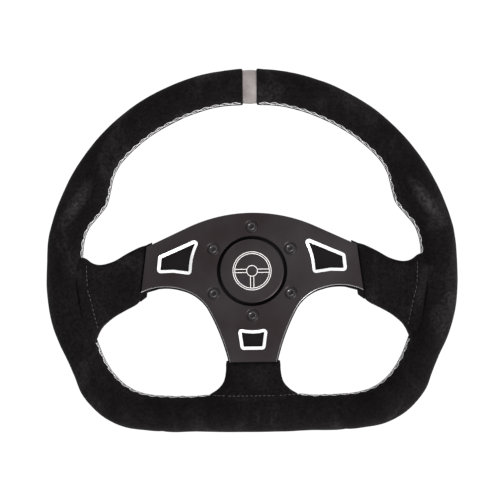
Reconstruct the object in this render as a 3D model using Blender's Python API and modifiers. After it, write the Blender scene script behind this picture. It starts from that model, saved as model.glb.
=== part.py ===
"""Quick release steering wheel: a flat-bottomed suede wheel with its half of the quick release.

The wheel is drawn in its own face frame (X right, Y up, Z towards the driver), held by the
empty wheel_axis. In the world the driver looks along +Y, so the front of the wheel faces -Y.
The origin is the centre of the stop face at the bottom of the hub's socket.
Lengths are in metres. A height is a distance towards the driver from the origin.
"""

import math

import bmesh
import bpy

# ---------------------------------------------------------------- driving dimensions
GAP = 0.0003

# The rim: angle from +X in degrees, outer radius, inner radius. The left side mirrors the right.
RIM_OUTLINE = [
    (90, 0.1606, 0.1322),
    (80, 0.1606, 0.1331),
    (65, 0.1607, 0.1333),
    (50, 0.1610, 0.1341),
    (40, 0.1612, 0.1343),
    (35, 0.1614, 0.1324),
    (30, 0.1617, 0.1285),
    (25, 0.1619, 0.1262),
    (20, 0.1622, 0.1293),
    (15, 0.1627, 0.1337),
    (10, 0.1630, 0.1348),
    (2, 0.1623, 0.1339),
    (-12, 0.1634, 0.1336),
    (-20, 0.1627, 0.1337),
    (-25, 0.1619, 0.1343),
    (-30, 0.1631, 0.1353),
    (-35, 0.1658, 0.1357),
    (-40, 0.1657, 0.1347),
    (-45, 0.1636, 0.1315),
    (-50, 0.1591, 0.1259),
    (-55, 0.1520, 0.1190),
    (-60, 0.1450, 0.1128),
    (-70, 0.1344, 0.1032),
    (-80, 0.1290, 0.0986),
    (-90, 0.1272, 0.0971),
]
RIM_DEPTH = 0.030
RIM_SQUARENESS = 2.3
RIM_STATIONS = 48
RIM_SIDES = 12
SUEDE_THICKNESS = 0.0012
BAND_WIDTH = 0.0107
BAND_RECESS = 0.0014
BAND_THICKNESS = 0.0010
CORE_RADIUS = 0.0060

# The stack at the hub, from the socket's stop face towards the driver.
FLANGE_BACK = 0.0010
FLANGE_FRONT = 0.0080
REAR_PLATE_THICKNESS = 0.0020
FRAME_THICKNESS = 0.0050
FRONT_PLATE_THICKNESS = 0.0030
REAR_PLATE_BACK = FLANGE_FRONT + GAP
REAR_PLATE_FRONT = REAR_PLATE_BACK + REAR_PLATE_THICKNESS
FRAME_BACK = REAR_PLATE_FRONT + GAP
FRAME_FRONT = FRAME_BACK + FRAME_THICKNESS
FRONT_PLATE_BACK = FRAME_FRONT + GAP
FRONT_PLATE_FRONT = FRONT_PLATE_BACK + FRONT_PLATE_THICKNESS
RIM_HEIGHT = (FRAME_BACK + FRAME_FRONT) / 2

# The plates' outline.
PLATE_TOP_ARC = (0.0, -0.0742, 0.1201)
PLATE_TOP_TANGENT = 24.7
PLATE_END_TOP = (0.0830, 0.0198)
PLATE_ARCH = (0.0688, -0.0546, 0.0416)
PLATE_THROAT = (0.0640, -0.0473, 0.0333)
PLATE_LOWER_THROAT = (0.1781, -0.1081, 0.1626)
PLATE_FOOT = (0.0196, -0.0720)
ARCH_END = 62.5
FRONT_ARCH_END = 63.2
FRONT_CUT_OUT_STEP = 0.0007
PLATE_CHAMFER = 0.0005
FRAME_INSET = 0.0004
ARM_SIDE = [(0.062, 0.016), (0.149, -0.0125), (0.149, -0.0345), (0.062, -0.010)]
ARM_BOTTOM = [(-0.013, -0.060), (-0.013, -0.1128), (0.013, -0.1128), (0.013, -0.060)]

# The windows, their machined chamfers and the hub's openings.
WINDOW_CHAMFER = 0.0024
WINDOW_INNER_RADIUS = 0.0499
WINDOW_ROUNDING = 0.0005
PLATE_BORE_RADIUS = 0.02765
CAP_RADIUS = 0.0252
CAP_PROUD = 0.0004
SKIRT_RADIUS = 0.0230
SKIRT_BORE_RADIUS = SKIRT_RADIUS + GAP
SKIRT_WALL = 0.0030
O_RING_THICKNESS = 0.0012
O_RING_HEIGHT = 0.0128

# Fasteners: six hub screws on a 70 mm circle and three plate screws from behind.
SCREW_CIRCLE = 0.035
SCREW_ANGLES = [90, 30, -30, -90, -150, 150]
SCREW_RADIUS = 0.0025
SCREW_HOLE_RADIUS = SCREW_RADIUS + GAP
SCREW_LENGTH = 0.016
COUNTERSINK_RADIUS = 0.00525
SOCKET_MOUTH_RADIUS = 0.0028
HEX_ACROSS_FLATS = 0.004
HEX_DEPTH = 0.0022
PLATE_SCREWS = {"left": (-0.0800, 0.0040), "right": (0.0800, 0.0040), "bottom": (0.0, -0.0670)}
PLATE_SCREW_RADIUS = 0.0015
PLATE_SCREW_HEAD_RADIUS = 0.0031
PLATE_SCREW_LENGTH = 0.0095
PLATE_SCREW_ACROSS_FLATS = 0.0020
PLATE_SCREW_HEX_DEPTH = 0.0013
PLATE_SCREW_MOUTH_RADIUS = 0.0014

# The quick release.
FLANGE_RADIUS = 0.043
SLEEVE_RADIUS = 0.0210
SLEEVE_END = -0.0375
SOCKET_RADIUS = 0.0165
SPLINE_TIP_RADIUS = 0.0150
SPLINE_TEETH = 18
SPLINE_TOP = -0.0030
SPLINE_BOTTOM = -0.0140
STOP_PAD_RADIUS = 0.0120
BALL_RADIUS = 0.00375
BALL_COUNT = 6
BALL_HEIGHT = -0.0200
BALL_CIRCLE = 0.01825
BALL_TRAVEL = 0.0022
COLLAR_TRAVEL = 0.008
COLLAR_RADIUS = 0.030
COLLAR_FRONT = -0.0080
COLLAR_GROOVES = (0.0060, 0.0170)
COLLAR_BORE_RADIUS = SLEEVE_RADIUS + GAP
SPRING_POCKET_RADIUS = 0.0270
SPRING_POCKET_BOTTOM = -0.0140
SPRING_WIRE_RADIUS = 0.0009
SPRING_RADIUS = 0.0240
SPRING_TURNS = 3.25
BALL_POCKET_BOTTOM = BALL_HEIGHT - COLLAR_TRAVEL - BALL_RADIUS - GAP
END_RING_THICKNESS = 0.0020
END_RING_RADIUS = 0.0270
COLLAR_BACK = BALL_POCKET_BOTTOM - END_RING_THICKNESS - 2 * GAP
RETAINER_THICKNESS = 0.0011
RETAINER_FRONT = COLLAR_BACK - GAP
RETAINER_RADIUS = 0.0234
RETAINER_SEAT_RADIUS = 0.0200

# ---------------------------------------------------------------- scene, materials
for old in list(bpy.data.objects):
    bpy.data.objects.remove(old, do_unlink=True)


def new_collection(name):
    collection = bpy.data.collections.new(name)
    bpy.context.scene.collection.children.link(collection)
    return collection


PARTS = new_collection("quick_release_steering_wheel")
CUTTERS = new_collection("cutters")


def new_material(name, colour, roughness, metallic):
    material = bpy.data.materials.new(name)
    material.use_nodes = True
    shader = material.node_tree.nodes["Principled BSDF"]
    shader.inputs["Base Color"].default_value = (*colour, 1.0)
    shader.inputs["Roughness"].default_value = roughness
    shader.inputs["Metallic"].default_value = metallic
    return material


SUEDE = new_material("black_suede", (0.012, 0.011, 0.012), 0.95, 0.0)
BAND = new_material("grey_band", (0.34, 0.31, 0.30), 0.6, 0.0)
FOAM = new_material("rim_foam", (0.03, 0.03, 0.032), 0.9, 0.0)
ANODISED = new_material("black_anodised", (0.035, 0.028, 0.031), 0.45, 0.8)
FRAME_BLACK = new_material("frame_black", (0.008, 0.008, 0.008), 0.6, 0.3)
BLACK_STEEL = new_material("black_steel", (0.03, 0.03, 0.03), 0.4, 0.9)
BARE_STEEL = new_material("bare_steel", (0.55, 0.55, 0.56), 0.3, 1.0)
COLLAR_METAL = new_material("collar_metal", (0.05, 0.05, 0.055), 0.35, 0.9)
RUBBER = new_material("rubber", (0.01, 0.01, 0.01), 0.8, 0.0)
CORE_METAL = new_material("core_metal", (0.56, 0.57, 0.59), 0.4, 1.0)


def new_empty(name, location=(0.0, 0.0, 0.0), parent=None):
    empty = bpy.data.objects.new(name, None)
    empty.location = location
    empty.parent = parent
    PARTS.objects.link(empty)
    return empty


WHEEL_AXIS = new_empty("wheel_axis")
WHEEL_AXIS.rotation_euler = (math.radians(90), 0.0, 0.0)
COLLAR_AXIS = new_empty("collar_axis", (0.0, 0.0, COLLAR_FRONT), WHEEL_AXIS)


# ---------------------------------------------------------------- modelling helpers
def shade(mesh):
    mesh.shade_smooth()
    mesh.set_sharp_from_angle(angle=math.radians(35))


def place(name, mesh, material, location=(0.0, 0.0, 0.0), parent=WHEEL_AXIS):
    """A part from a mesh, held by its parent."""
    shade(mesh)
    mesh.materials.clear()
    mesh.materials.append(material)
    part = bpy.data.objects.new(name, mesh)
    part.location = location
    part.parent = parent
    PARTS.objects.link(part)
    return part


def place_cutter(name, mesh, location=(0.0, 0.0, 0.0), parent=WHEEL_AXIS):
    cutter = bpy.data.objects.new(name, mesh)
    cutter.location = location
    cutter.parent = parent
    cutter.hide_render = True
    cutter.display_type = "WIRE"
    CUTTERS.objects.link(cutter)
    return cutter


def combine(part, tool, operation="DIFFERENCE"):
    modifier = part.modifiers.new(f"{operation.lower()}_{tool.name}", "BOOLEAN")
    modifier.operation = operation
    modifier.object = tool


def evaluated_mesh(source):
    """The mesh that an object's curve or modifiers make, welded; the source is removed."""
    bpy.context.view_layer.update()
    depsgraph = bpy.context.evaluated_depsgraph_get()
    mesh = bpy.data.meshes.new_from_object(source.evaluated_get(depsgraph))
    bm = bmesh.new()
    bm.from_mesh(mesh)
    bmesh.ops.remove_doubles(bm, verts=bm.verts, dist=1e-6)
    bm.to_mesh(mesh)
    bm.free()
    bpy.data.objects.remove(source, do_unlink=True)
    return mesh


def curve_mesh(name, points, dimensions, cyclic, **settings):
    """The mesh of a one-spline curve with the given extrusion or bevel."""
    curve = bpy.data.curves.new(name, "CURVE")
    curve.dimensions = dimensions
    spline = curve.splines.new("POLY")
    spline.points.add(len(points) - 1)
    for point, place_at in zip(spline.points, points):
        point.co = (*place_at, *([0.0] * (3 - len(place_at))), 1.0)
    spline.use_cyclic_u = cyclic
    for setting, value in settings.items():
        setattr(curve, setting, value)
    source = bpy.data.objects.new(name, curve)
    PARTS.objects.link(source)
    return evaluated_mesh(source)


def plate_mesh(name, outline, low, high, chamfer=0.0):
    """A flat outline between two heights, with chamfered edges if asked."""
    mesh = curve_mesh(
        name,
        outline,
        "2D",
        True,
        fill_mode="BOTH",
        extrude=(high - low) / 2 - chamfer,
        bevel_depth=chamfer,
        bevel_resolution=0,
        offset=-chamfer,
    )
    for vertex in mesh.vertices:
        vertex.co.z += (low + high) / 2
    return mesh


def tube_mesh(name, route, radius, cyclic):
    return curve_mesh(
        name,
        route,
        "3D",
        cyclic,
        bevel_depth=radius,
        bevel_resolution=1,
        use_fill_caps=True,
    )


def turned_mesh(name, profile, steps, closed):
    """A profile of (radius, height), top to bottom on its outer side, turned about the axis."""
    mesh = bpy.data.meshes.new(name)
    count = len(profile)
    edges = [(i, i + 1) for i in range(count - 1)]
    if closed:
        edges.append((count - 1, 0))
    mesh.from_pydata([(radius, 0.0, height) for radius, height in profile], edges, [])
    source = bpy.data.objects.new(name, mesh)
    PARTS.objects.link(source)
    screw = source.modifiers.new("turn", "SCREW")
    screw.steps = steps
    screw.render_steps = steps
    screw.use_merge_vertices = True
    screw.merge_threshold = 1e-5
    return evaluated_mesh(source)


def cylinder_mesh(name, radius, low, high, sides, top_radius=None):
    """A cylinder or cone along the axis between two heights."""
    mesh = bpy.data.meshes.new(name)
    bm = bmesh.new()
    bmesh.ops.create_cone(
        bm,
        cap_ends=True,
        segments=sides,
        radius1=radius,
        radius2=radius if top_radius is None else top_radius,
        depth=high - low,
    )
    bmesh.ops.translate(bm, verts=bm.verts, vec=(0.0, 0.0, (low + high) / 2))
    bm.to_mesh(mesh)
    bm.free()
    return mesh


def loft_mesh(name, rings, capped):
    """Quads from ring to ring; the ends are capped, or the last ring joins the first."""
    bm = bmesh.new()
    loops = [[bm.verts.new(point) for point in ring] for ring in rings]
    sides = len(rings[0])
    spans = len(rings) - 1 if capped else len(rings)
    for k in range(spans):
        here = loops[k]
        there = loops[(k + 1) % len(rings)]
        for i in range(sides):
            j = (i + 1) % sides
            bm.faces.new((here[i], here[j], there[j], there[i]))
    if capped:
        bm.faces.new(loops[0])
        bm.faces.new(loops[-1])
    bmesh.ops.recalc_face_normals(bm, faces=bm.faces)
    mesh = bpy.data.meshes.new(name)
    bm.to_mesh(mesh)
    bm.free()
    return mesh


def polar(radius, degrees):
    angle = math.radians(degrees)
    return radius * math.cos(angle), radius * math.sin(angle)


def arc(centre_x, centre_y, radius, start, end, count):
    """Points of an arc, by angle in degrees."""
    points = []
    for i in range(count):
        x, y = polar(radius, start + (end - start) * i / (count - 1))
        points.append((centre_x + x, centre_y + y))
    return points


def inset(outline, distance):
    """A closed counter-clockwise outline with each side moved inwards."""
    moved = []
    count = len(outline)
    for i, (x, y) in enumerate(outline):
        before_x, before_y = outline[i - 1]
        after_x, after_y = outline[(i + 1) % count]
        ax, ay = x - before_x, y - before_y
        bx, by = after_x - x, after_y - y
        a, b = math.hypot(ax, ay), math.hypot(bx, by)
        nx, ny = -ay / a - by / b, ax / a + bx / b
        scale = 2.0 / (nx * nx + ny * ny)
        moved.append((x + nx * scale * distance, y + ny * scale * distance))
    return moved


def rounded(corners, radius, count=3):
    """A closed outline whose listed corners are rounded with short arcs."""
    outline = []
    total = len(corners)
    for i, (x, y) in enumerate(corners):
        before_x, before_y = corners[i - 1]
        after_x, after_y = corners[(i + 1) % total]
        a = math.hypot(before_x - x, before_y - y)
        b = math.hypot(after_x - x, after_y - y)
        ux, uy = (before_x - x) / a, (before_y - y) / a
        vx, vy = (after_x - x) / b, (after_y - y) / b
        half = math.acos(max(-1.0, min(1.0, ux * vx + uy * vy))) / 2
        if half > math.radians(80):
            outline.append((x, y))
            continue
        reach = min(radius / math.tan(half), 0.45 * a, 0.45 * b)
        start = (x + ux * reach, y + uy * reach)
        end = (x + vx * reach, y + vy * reach)
        for k in range(count):
            t = k / (count - 1)
            one, middle, other = (1 - t) ** 2, 2 * t * (1 - t), t**2
            px = one * start[0] + middle * x + other * end[0]
            py = one * start[1] + middle * y + other * end[1]
            outline.append((px, py))
    return outline


def mirrored(outline):
    """The same outline on the left, still counter-clockwise."""
    return [(-x, y) for x, y in reversed(outline)]


# ---------------------------------------------------------------- rim
def cubic(p0, p1, p2, p3, t):
    """A smooth curve through evenly spaced values, from p1 at t 0 to p2 at t 1."""
    third = 3 * (p1 - p2) + p3 - p0
    second = 2 * p0 - 5 * p1 + 4 * p2 - p3
    return p1 + 0.5 * t * (p2 - p0 + t * (second + t * third))


def rim_radii(degrees):
    """Outer and inner radius of the suede rim at an angle, the same on both sides."""
    angle = (degrees + 90) % 360 - 90
    if angle > 90:
        angle = 180 - angle
    rows = RIM_OUTLINE
    k = max(i for i in range(len(rows) - 1) if angle <= rows[i][0] + 1e-9)
    t = (angle - rows[k][0]) / (rows[k + 1][0] - rows[k][0])
    before = rows[k - 1] if k else rows[1]
    after = rows[k + 2] if k + 2 < len(rows) else rows[-2]
    return [cubic(before[c], rows[k][c], rows[k + 1][c], after[c], t) for c in (1, 2)]


def rim_section(degrees, depth_inset, shift=0.0):
    """A ring of points round the rim at an angle, inside the suede's surface by an inset."""
    outer, inner = rim_radii(degrees)
    middle = (outer + inner) / 2
    half_width = (outer - inner) / 2 - depth_inset
    half_depth = RIM_DEPTH / 2 - depth_inset
    ring = []
    for i in range(RIM_SIDES):
        turn = 2 * math.pi * i / RIM_SIDES
        across, along = math.cos(turn), math.sin(turn)
        power = 2 / RIM_SQUARENESS
        reach = math.copysign(abs(across) ** power, across) * half_width
        height = math.copysign(abs(along) ** power, along) * half_depth
        x, y = polar(middle + reach, degrees)
        ring.append((x + shift, y, RIM_HEIGHT + height))
    return ring


def open_rim_rings(depth_inset):
    """Rings clockwise from the right of the top band to its left."""
    step = 360 / RIM_STATIONS
    half_band = BAND_WIDTH / 2
    rings = [rim_section(90, depth_inset, half_band)]
    rings += [rim_section(90 - step * k, depth_inset) for k in range(1, RIM_STATIONS)]
    rings.append(rim_section(90, depth_inset, -half_band))
    return rings


def tube_wall_mesh(name, outside, inside):
    """A tube with open ends and a wall between two lofted surfaces."""
    bm = bmesh.new()
    skins = [[[bm.verts.new(p) for p in ring] for ring in rings] for rings in (outside, inside)]
    sides = len(outside[0])
    for skin in skins:
        for here, there in zip(skin, skin[1:]):
            for i in range(sides):
                j = (i + 1) % sides
                bm.faces.new((here[i], here[j], there[j], there[i]))
    for end in (0, -1):
        outer, inner = skins[0][end], skins[1][end]
        for i in range(sides):
            j = (i + 1) % sides
            bm.faces.new((outer[i], outer[j], inner[j], inner[i]))
    bmesh.ops.recalc_face_normals(bm, faces=bm.faces)
    mesh = bpy.data.meshes.new(name)
    bm.to_mesh(mesh)
    bm.free()
    return mesh


def core_route():
    """The middle of the rim's section, all the way round."""
    route = []
    for k in range(RIM_STATIONS):
        degrees = 90 - 360 * k / RIM_STATIONS
        x, y = polar(sum(rim_radii(degrees)) / 2, degrees)
        route.append((x, y, RIM_HEIGHT))
    return route


CORE_CHANNEL_MESH = tube_mesh("core_channel", core_route(), CORE_RADIUS + GAP, True)
CORE_CHANNEL = place_cutter("core_channel", CORE_CHANNEL_MESH)


def arm_slot(name, outline):
    """Room for a spoke's arm through the sleeve, the suede and the foam."""
    slot = inset(outline, -GAP)
    return place_cutter(name, plate_mesh(name, slot, FRAME_BACK - GAP, FRAME_FRONT + GAP))


ARMS = {"right": ARM_SIDE[::-1], "left": mirrored(ARM_SIDE[::-1]), "bottom": ARM_BOTTOM}
SLOTS = {side: arm_slot(f"arm_slot_{side}", outline) for side, outline in ARMS.items()}


def make_rim():
    place("rim_core", tube_mesh("rim_core", core_route(), CORE_RADIUS, True), CORE_METAL)

    foam_inset = SUEDE_THICKNESS + GAP
    band_seat = BAND_RECESS + BAND_THICKNESS + GAP
    half_seat = BAND_WIDTH / 2
    step = 360 / RIM_STATIONS
    rings = [rim_section(90, band_seat, half_seat)]
    rings.append(rim_section(90, foam_inset, half_seat + GAP))
    rings += [rim_section(90 - step * k, foam_inset) for k in range(1, RIM_STATIONS)]
    rings.append(rim_section(90, foam_inset, -half_seat - GAP))
    rings.append(rim_section(90, band_seat, -half_seat))
    foam = place("rim_foam", loft_mesh("rim_foam", rings, capped=False), FOAM)
    combine(foam, CORE_CHANNEL)

    outside = open_rim_rings(0.0)
    inside = open_rim_rings(SUEDE_THICKNESS)
    suede = place("rim_wrap", tube_wall_mesh("rim_wrap", outside, inside), SUEDE)
    for slot in SLOTS.values():
        combine(foam, slot)
        combine(suede, slot)

    band_end = BAND_WIDTH / 2 - GAP
    outside = [rim_section(90, BAND_RECESS, x) for x in (-band_end, band_end)]
    inside = [rim_section(90, BAND_RECESS + BAND_THICKNESS, x) for x in (-band_end, band_end)]
    place("top_band", tube_wall_mesh("top_band", outside, inside), BAND)


# ---------------------------------------------------------------- spoke sleeves
SLEEVE_SIDES = 14
SLEEVE_SQUARENESS = 3.4

# Top corner, bottom corner, back height and front height of each section of the right sleeve.
SIDE_SLEEVE = [
    ((0.0836, 0.0215), (0.0892, -0.0230), 0.0089, 0.0174),
    ((0.0900, 0.0195), (0.0930, -0.0262), 0.0072, 0.0192),
    ((0.0990, 0.0150), (0.1000, -0.0298), 0.0065, 0.0198),
    ((0.1090, 0.0093), (0.1092, -0.0350), 0.0060, 0.0204),
    ((0.1190, 0.0066), (0.1172, -0.0415), 0.0050, 0.0214),
    ((0.1262, 0.0080), (0.1212, -0.0470), 0.0030, 0.0232),
    ((0.1325, 0.0122), (0.1250, -0.0545), 0.0010, 0.0250),
    ((0.1400, 0.0130), (0.1300, -0.0560), 0.0010, 0.0250),
]
# Half width, how far down, back height and front height of each section of the bottom sleeve.
BOTTOM_SLEEVE = [
    (0.0215, -0.0724, 0.0089, 0.0174),
    (0.0217, -0.0780, 0.0072, 0.0192),
    (0.0226, -0.0840, 0.0062, 0.0200),
    (0.0246, -0.0888, 0.0052, 0.0210),
    (0.0290, -0.0935, 0.0036, 0.0226),
    (0.0360, -0.0985, 0.0010, 0.0250),
    (0.0380, -0.1060, 0.0010, 0.0250),
]


def sleeve_section(one, other, back, front):
    """A soft-edged flat oval from one edge of a spoke to the other."""
    ring = []
    for i in range(SLEEVE_SIDES):
        turn = 2 * math.pi * i / SLEEVE_SIDES
        across, along = math.cos(turn), math.sin(turn)
        power = 2 / SLEEVE_SQUARENESS
        t = 0.5 + 0.5 * math.copysign(abs(across) ** power, across)
        h = 0.5 + 0.5 * math.copysign(abs(along) ** power, along)
        ring.append(
            (
                one[0] + (other[0] - one[0]) * t,
                one[1] + (other[1] - one[1]) * t,
                back + (front - back) * h,
            )
        )
    return ring


def make_sleeves():
    """Each sleeve runs from the plates' end into the rim, which shapes its far end."""
    clear_rings = [rim_section(360 * k / RIM_STATIONS, -GAP) for k in range(RIM_STATIONS)]
    rim_envelope = place_cutter("rim_envelope", loft_mesh("rim_envelope", clear_rings, capped=False))
    right = [sleeve_section(*row) for row in SIDE_SLEEVE]
    left = [[(-x, y, z) for x, y, z in ring] for ring in right]
    bottom = [
        sleeve_section((-half, down), (half, down), back, front)
        for half, down, back, front in BOTTOM_SLEEVE
    ]
    for side, rings in (("left", left), ("right", right), ("bottom", bottom)):
        name = f"sleeve_{side}"
        sleeve = place(name, loft_mesh(name, rings, capped=True), SUEDE)
        combine(sleeve, rim_envelope)
        combine(sleeve, SLOTS[side])


# ---------------------------------------------------------------- plates and frame
def plate_outline(step=0.0, arch_end=ARCH_END):
    """The three-spoked outline of the plates and frame, its lower cut-outs larger by a step."""
    x, y, radius = PLATE_TOP_ARC
    top = arc(x, y, radius, 90 - PLATE_TOP_TANGENT, 90, 9)
    x, y, radius = PLATE_ARCH
    arch = arc(x, y, radius + step, 105, arch_end, 6)
    x, y, radius = PLATE_THROAT
    throat = arc(x, y, radius + step, 152, 108, 8)
    x, y, radius = PLATE_LOWER_THROAT
    lower_throat = arc(x, y, radius + step, 167.2, 152, 4)[1:-1]
    foot = (PLATE_FOOT[0] - step, PLATE_FOOT[1])
    right = [foot, *lower_throat, *throat, *arch, PLATE_END_TOP, *top]
    return right[:-1] + mirrored(right)


def side_window(chamfer):
    """The right-hand window's opening, or the outline a chamfer's width outside it."""
    inner_side = arc(0.0, 0.0, WINDOW_INNER_RADIUS, 22.5, 4.5, 4)
    corners = [(0.04455, 0.02249), *inner_side, (0.0501, 0.0001), (0.0619, 0.0018)]
    corners += [(0.0723, 0.0015), (0.0713, 0.0110)]
    return inset(rounded(corners, WINDOW_ROUNDING, 4), -chamfer)


def bottom_window(chamfer):
    """The lower window's opening, or the outline a chamfer's width outside it."""
    corners = [(-0.0090, -0.0482), (-0.0074, -0.0596), (0.0074, -0.0596), (0.0090, -0.0482)]
    corners.append((0.0, -0.0493))
    return inset(rounded(corners, WINDOW_ROUNDING, 4), -chamfer)


def window_cutter(name, outline_at, flip):
    """A tapered cutter: the opening at the back, the chamfer's mouth at the front."""
    floor = FRONT_PLATE_FRONT - WINDOW_CHAMFER
    mouth = FRONT_PLATE_FRONT + 0.001
    levels = [
        (0.0, FRONT_PLATE_BACK - 0.001),
        (0.0, floor),
        (WINDOW_CHAMFER, FRONT_PLATE_FRONT),
        (WINDOW_CHAMFER, mouth),
    ]
    rings = []
    for chamfer, height in levels:
        outline = outline_at(chamfer)
        if flip:
            outline = mirrored(outline)
        rings.append([(x, y, height) for x, y in outline])
    return place_cutter(name, loft_mesh(name, rings, capped=True))


def countersunk_hole_mesh(name, hole_radius, mouth_radius, face, low):
    """A cutter for a countersunk hole whose mouth is in a face that looks along +Z."""
    high = face + 0.001
    reach = mouth_radius - hole_radius
    profile = [
        (0.0, high),
        (mouth_radius, high),
        (mouth_radius, face),
        (hole_radius, face - reach),
        (hole_radius, low),
        (0.0, low),
    ]
    return turned_mesh(name, profile, 20, closed=False)


def make_plates():
    front_outline = plate_outline(FRONT_CUT_OUT_STEP, FRONT_ARCH_END)
    front = place(
        "front_plate",
        plate_mesh("front_plate", front_outline, FRONT_PLATE_BACK, FRONT_PLATE_FRONT, PLATE_CHAMFER),
        ANODISED,
    )
    rear = place(
        "rear_plate",
        plate_mesh("rear_plate", plate_outline(), REAR_PLATE_BACK, REAR_PLATE_FRONT),
        ANODISED,
    )
    frame = place(
        "spoke_frame",
        plate_mesh("spoke_frame", inset(plate_outline(), FRAME_INSET), FRAME_BACK, FRAME_FRONT),
        FRAME_BLACK,
    )
    for side, outline in ARMS.items():
        arm = place_cutter(f"arm_{side}", plate_mesh(f"arm_{side}", outline, FRAME_BACK, FRAME_FRONT))
        combine(frame, arm, "UNION")
    combine(frame, CORE_CHANNEL)

    combine(front, window_cutter("window_right", side_window, flip=False))
    combine(front, window_cutter("window_left", side_window, flip=True))
    combine(front, window_cutter("window_bottom", bottom_window, flip=False))

    low, high = REAR_PLATE_BACK - 0.001, FRONT_PLATE_FRONT + 0.001
    cap_hole = place_cutter("cap_hole", cylinder_mesh("cap_hole", PLATE_BORE_RADIUS, low, high, 48))
    combine(front, cap_hole)
    skirt_hole = place_cutter("skirt_hole", cylinder_mesh("skirt_hole", SKIRT_BORE_RADIUS, low, high, 36))
    combine(rear, skirt_hole)
    combine(frame, skirt_hole)

    hole_mesh = cylinder_mesh("screw_hole", SCREW_HOLE_RADIUS, low, FRAME_FRONT + 0.0001, 12)
    sink_mesh = countersunk_hole_mesh(
        "countersink", SCREW_HOLE_RADIUS, COUNTERSINK_RADIUS, FRONT_PLATE_FRONT, FRONT_PLATE_BACK - 0.0001
    )
    for k, degrees in enumerate(SCREW_ANGLES, 1):
        spot = (*polar(SCREW_CIRCLE, degrees), 0.0)
        hole = place_cutter(f"screw_hole_{k}", hole_mesh, spot)
        combine(front, place_cutter(f"countersink_{k}", sink_mesh, spot))
        combine(frame, hole)
        combine(rear, hole)

    bore = PLATE_SCREW_RADIUS + GAP
    blind_mesh = cylinder_mesh("plate_screw_hole", bore, FRAME_BACK - 0.0001, FRONT_PLATE_FRONT - 0.0007, 12)
    mouth_radius = PLATE_SCREW_HEAD_RADIUS + GAP
    mouth_mesh = countersunk_hole_mesh(
        "plate_screw_sink", bore, mouth_radius, -REAR_PLATE_BACK, -REAR_PLATE_FRONT - 0.0001
    )
    for side, (x, y) in PLATE_SCREWS.items():
        mouth = place_cutter(f"plate_screw_sink_{side}", mouth_mesh, (x, y, 0.0))
        mouth.rotation_euler = (math.radians(180), 0.0, 0.0)
        combine(rear, mouth)
        hole = place_cutter(f"plate_screw_hole_{side}", blind_mesh, (x, y, 0.0))
        combine(frame, hole)
        combine(front, hole)


# ---------------------------------------------------------------- cap and fasteners
def make_cap():
    top = FRONT_PLATE_FRONT + CAP_PROUD
    seat = FRAME_FRONT + GAP
    foot = FLANGE_FRONT + 2 * GAP
    groove = SKIRT_RADIUS - O_RING_THICKNESS - GAP
    half_groove = O_RING_THICKNESS / 2 + GAP
    profile = [
        (0.0, top),
        (CAP_RADIUS - 0.0008, top),
        (CAP_RADIUS, top - 0.0008),
        (CAP_RADIUS, seat),
        (SKIRT_RADIUS, seat),
        (SKIRT_RADIUS, O_RING_HEIGHT + half_groove),
        (groove, O_RING_HEIGHT + half_groove),
        (groove, O_RING_HEIGHT - half_groove),
        (SKIRT_RADIUS, O_RING_HEIGHT - half_groove),
        (SKIRT_RADIUS, foot),
        (SKIRT_RADIUS - SKIRT_WALL, foot),
        (SKIRT_RADIUS - SKIRT_WALL, seat),
        (0.0, seat),
    ]
    place("centre_cap", turned_mesh("centre_cap", profile, 36, closed=False), ANODISED)

    middle = SKIRT_RADIUS - O_RING_THICKNESS / 2
    ring = [
        (middle + x, O_RING_HEIGHT + y)
        for x, y in arc(0.0, 0.0, O_RING_THICKNESS / 2, 90, -210, 6)
    ]
    place("cap_o_ring", turned_mesh("cap_o_ring", ring, 24, closed=True), RUBBER)


def countersunk_screw_mesh(name, head_radius, shank_radius, length, sides):
    """A countersunk screw with its head's face at height zero, without its drive."""
    head = head_radius - shank_radius
    profile = [
        (0.0, 0.0),
        (head_radius, 0.0),
        (shank_radius, -head),
        (shank_radius, -length + 0.0005),
        (shank_radius - 0.0005, -length),
        (0.0, -length),
    ]
    return turned_mesh(name, profile, sides, closed=False)


def with_drive(name, mesh, across_flats, depth, mouth_radius):
    """The screw with a hexagon socket and a round chamfered mouth cut in its face."""
    hexagon_radius = across_flats / math.sqrt(3)
    hexagon = place_cutter(f"{name}_hexagon", cylinder_mesh(name, hexagon_radius, -depth, 0.001, 6))
    reach = mouth_radius - hexagon_radius
    mouth = place_cutter(
        f"{name}_mouth",
        cylinder_mesh(name, hexagon_radius - GAP, -reach - GAP, GAP, 12, mouth_radius + GAP),
    )
    source = place(f"{name}_blank", mesh, BLACK_STEEL)
    combine(source, hexagon)
    combine(source, mouth)
    cut = evaluated_mesh(source)
    for cutter in (hexagon, mouth):
        bpy.data.objects.remove(cutter, do_unlink=True)
    return cut


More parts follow.
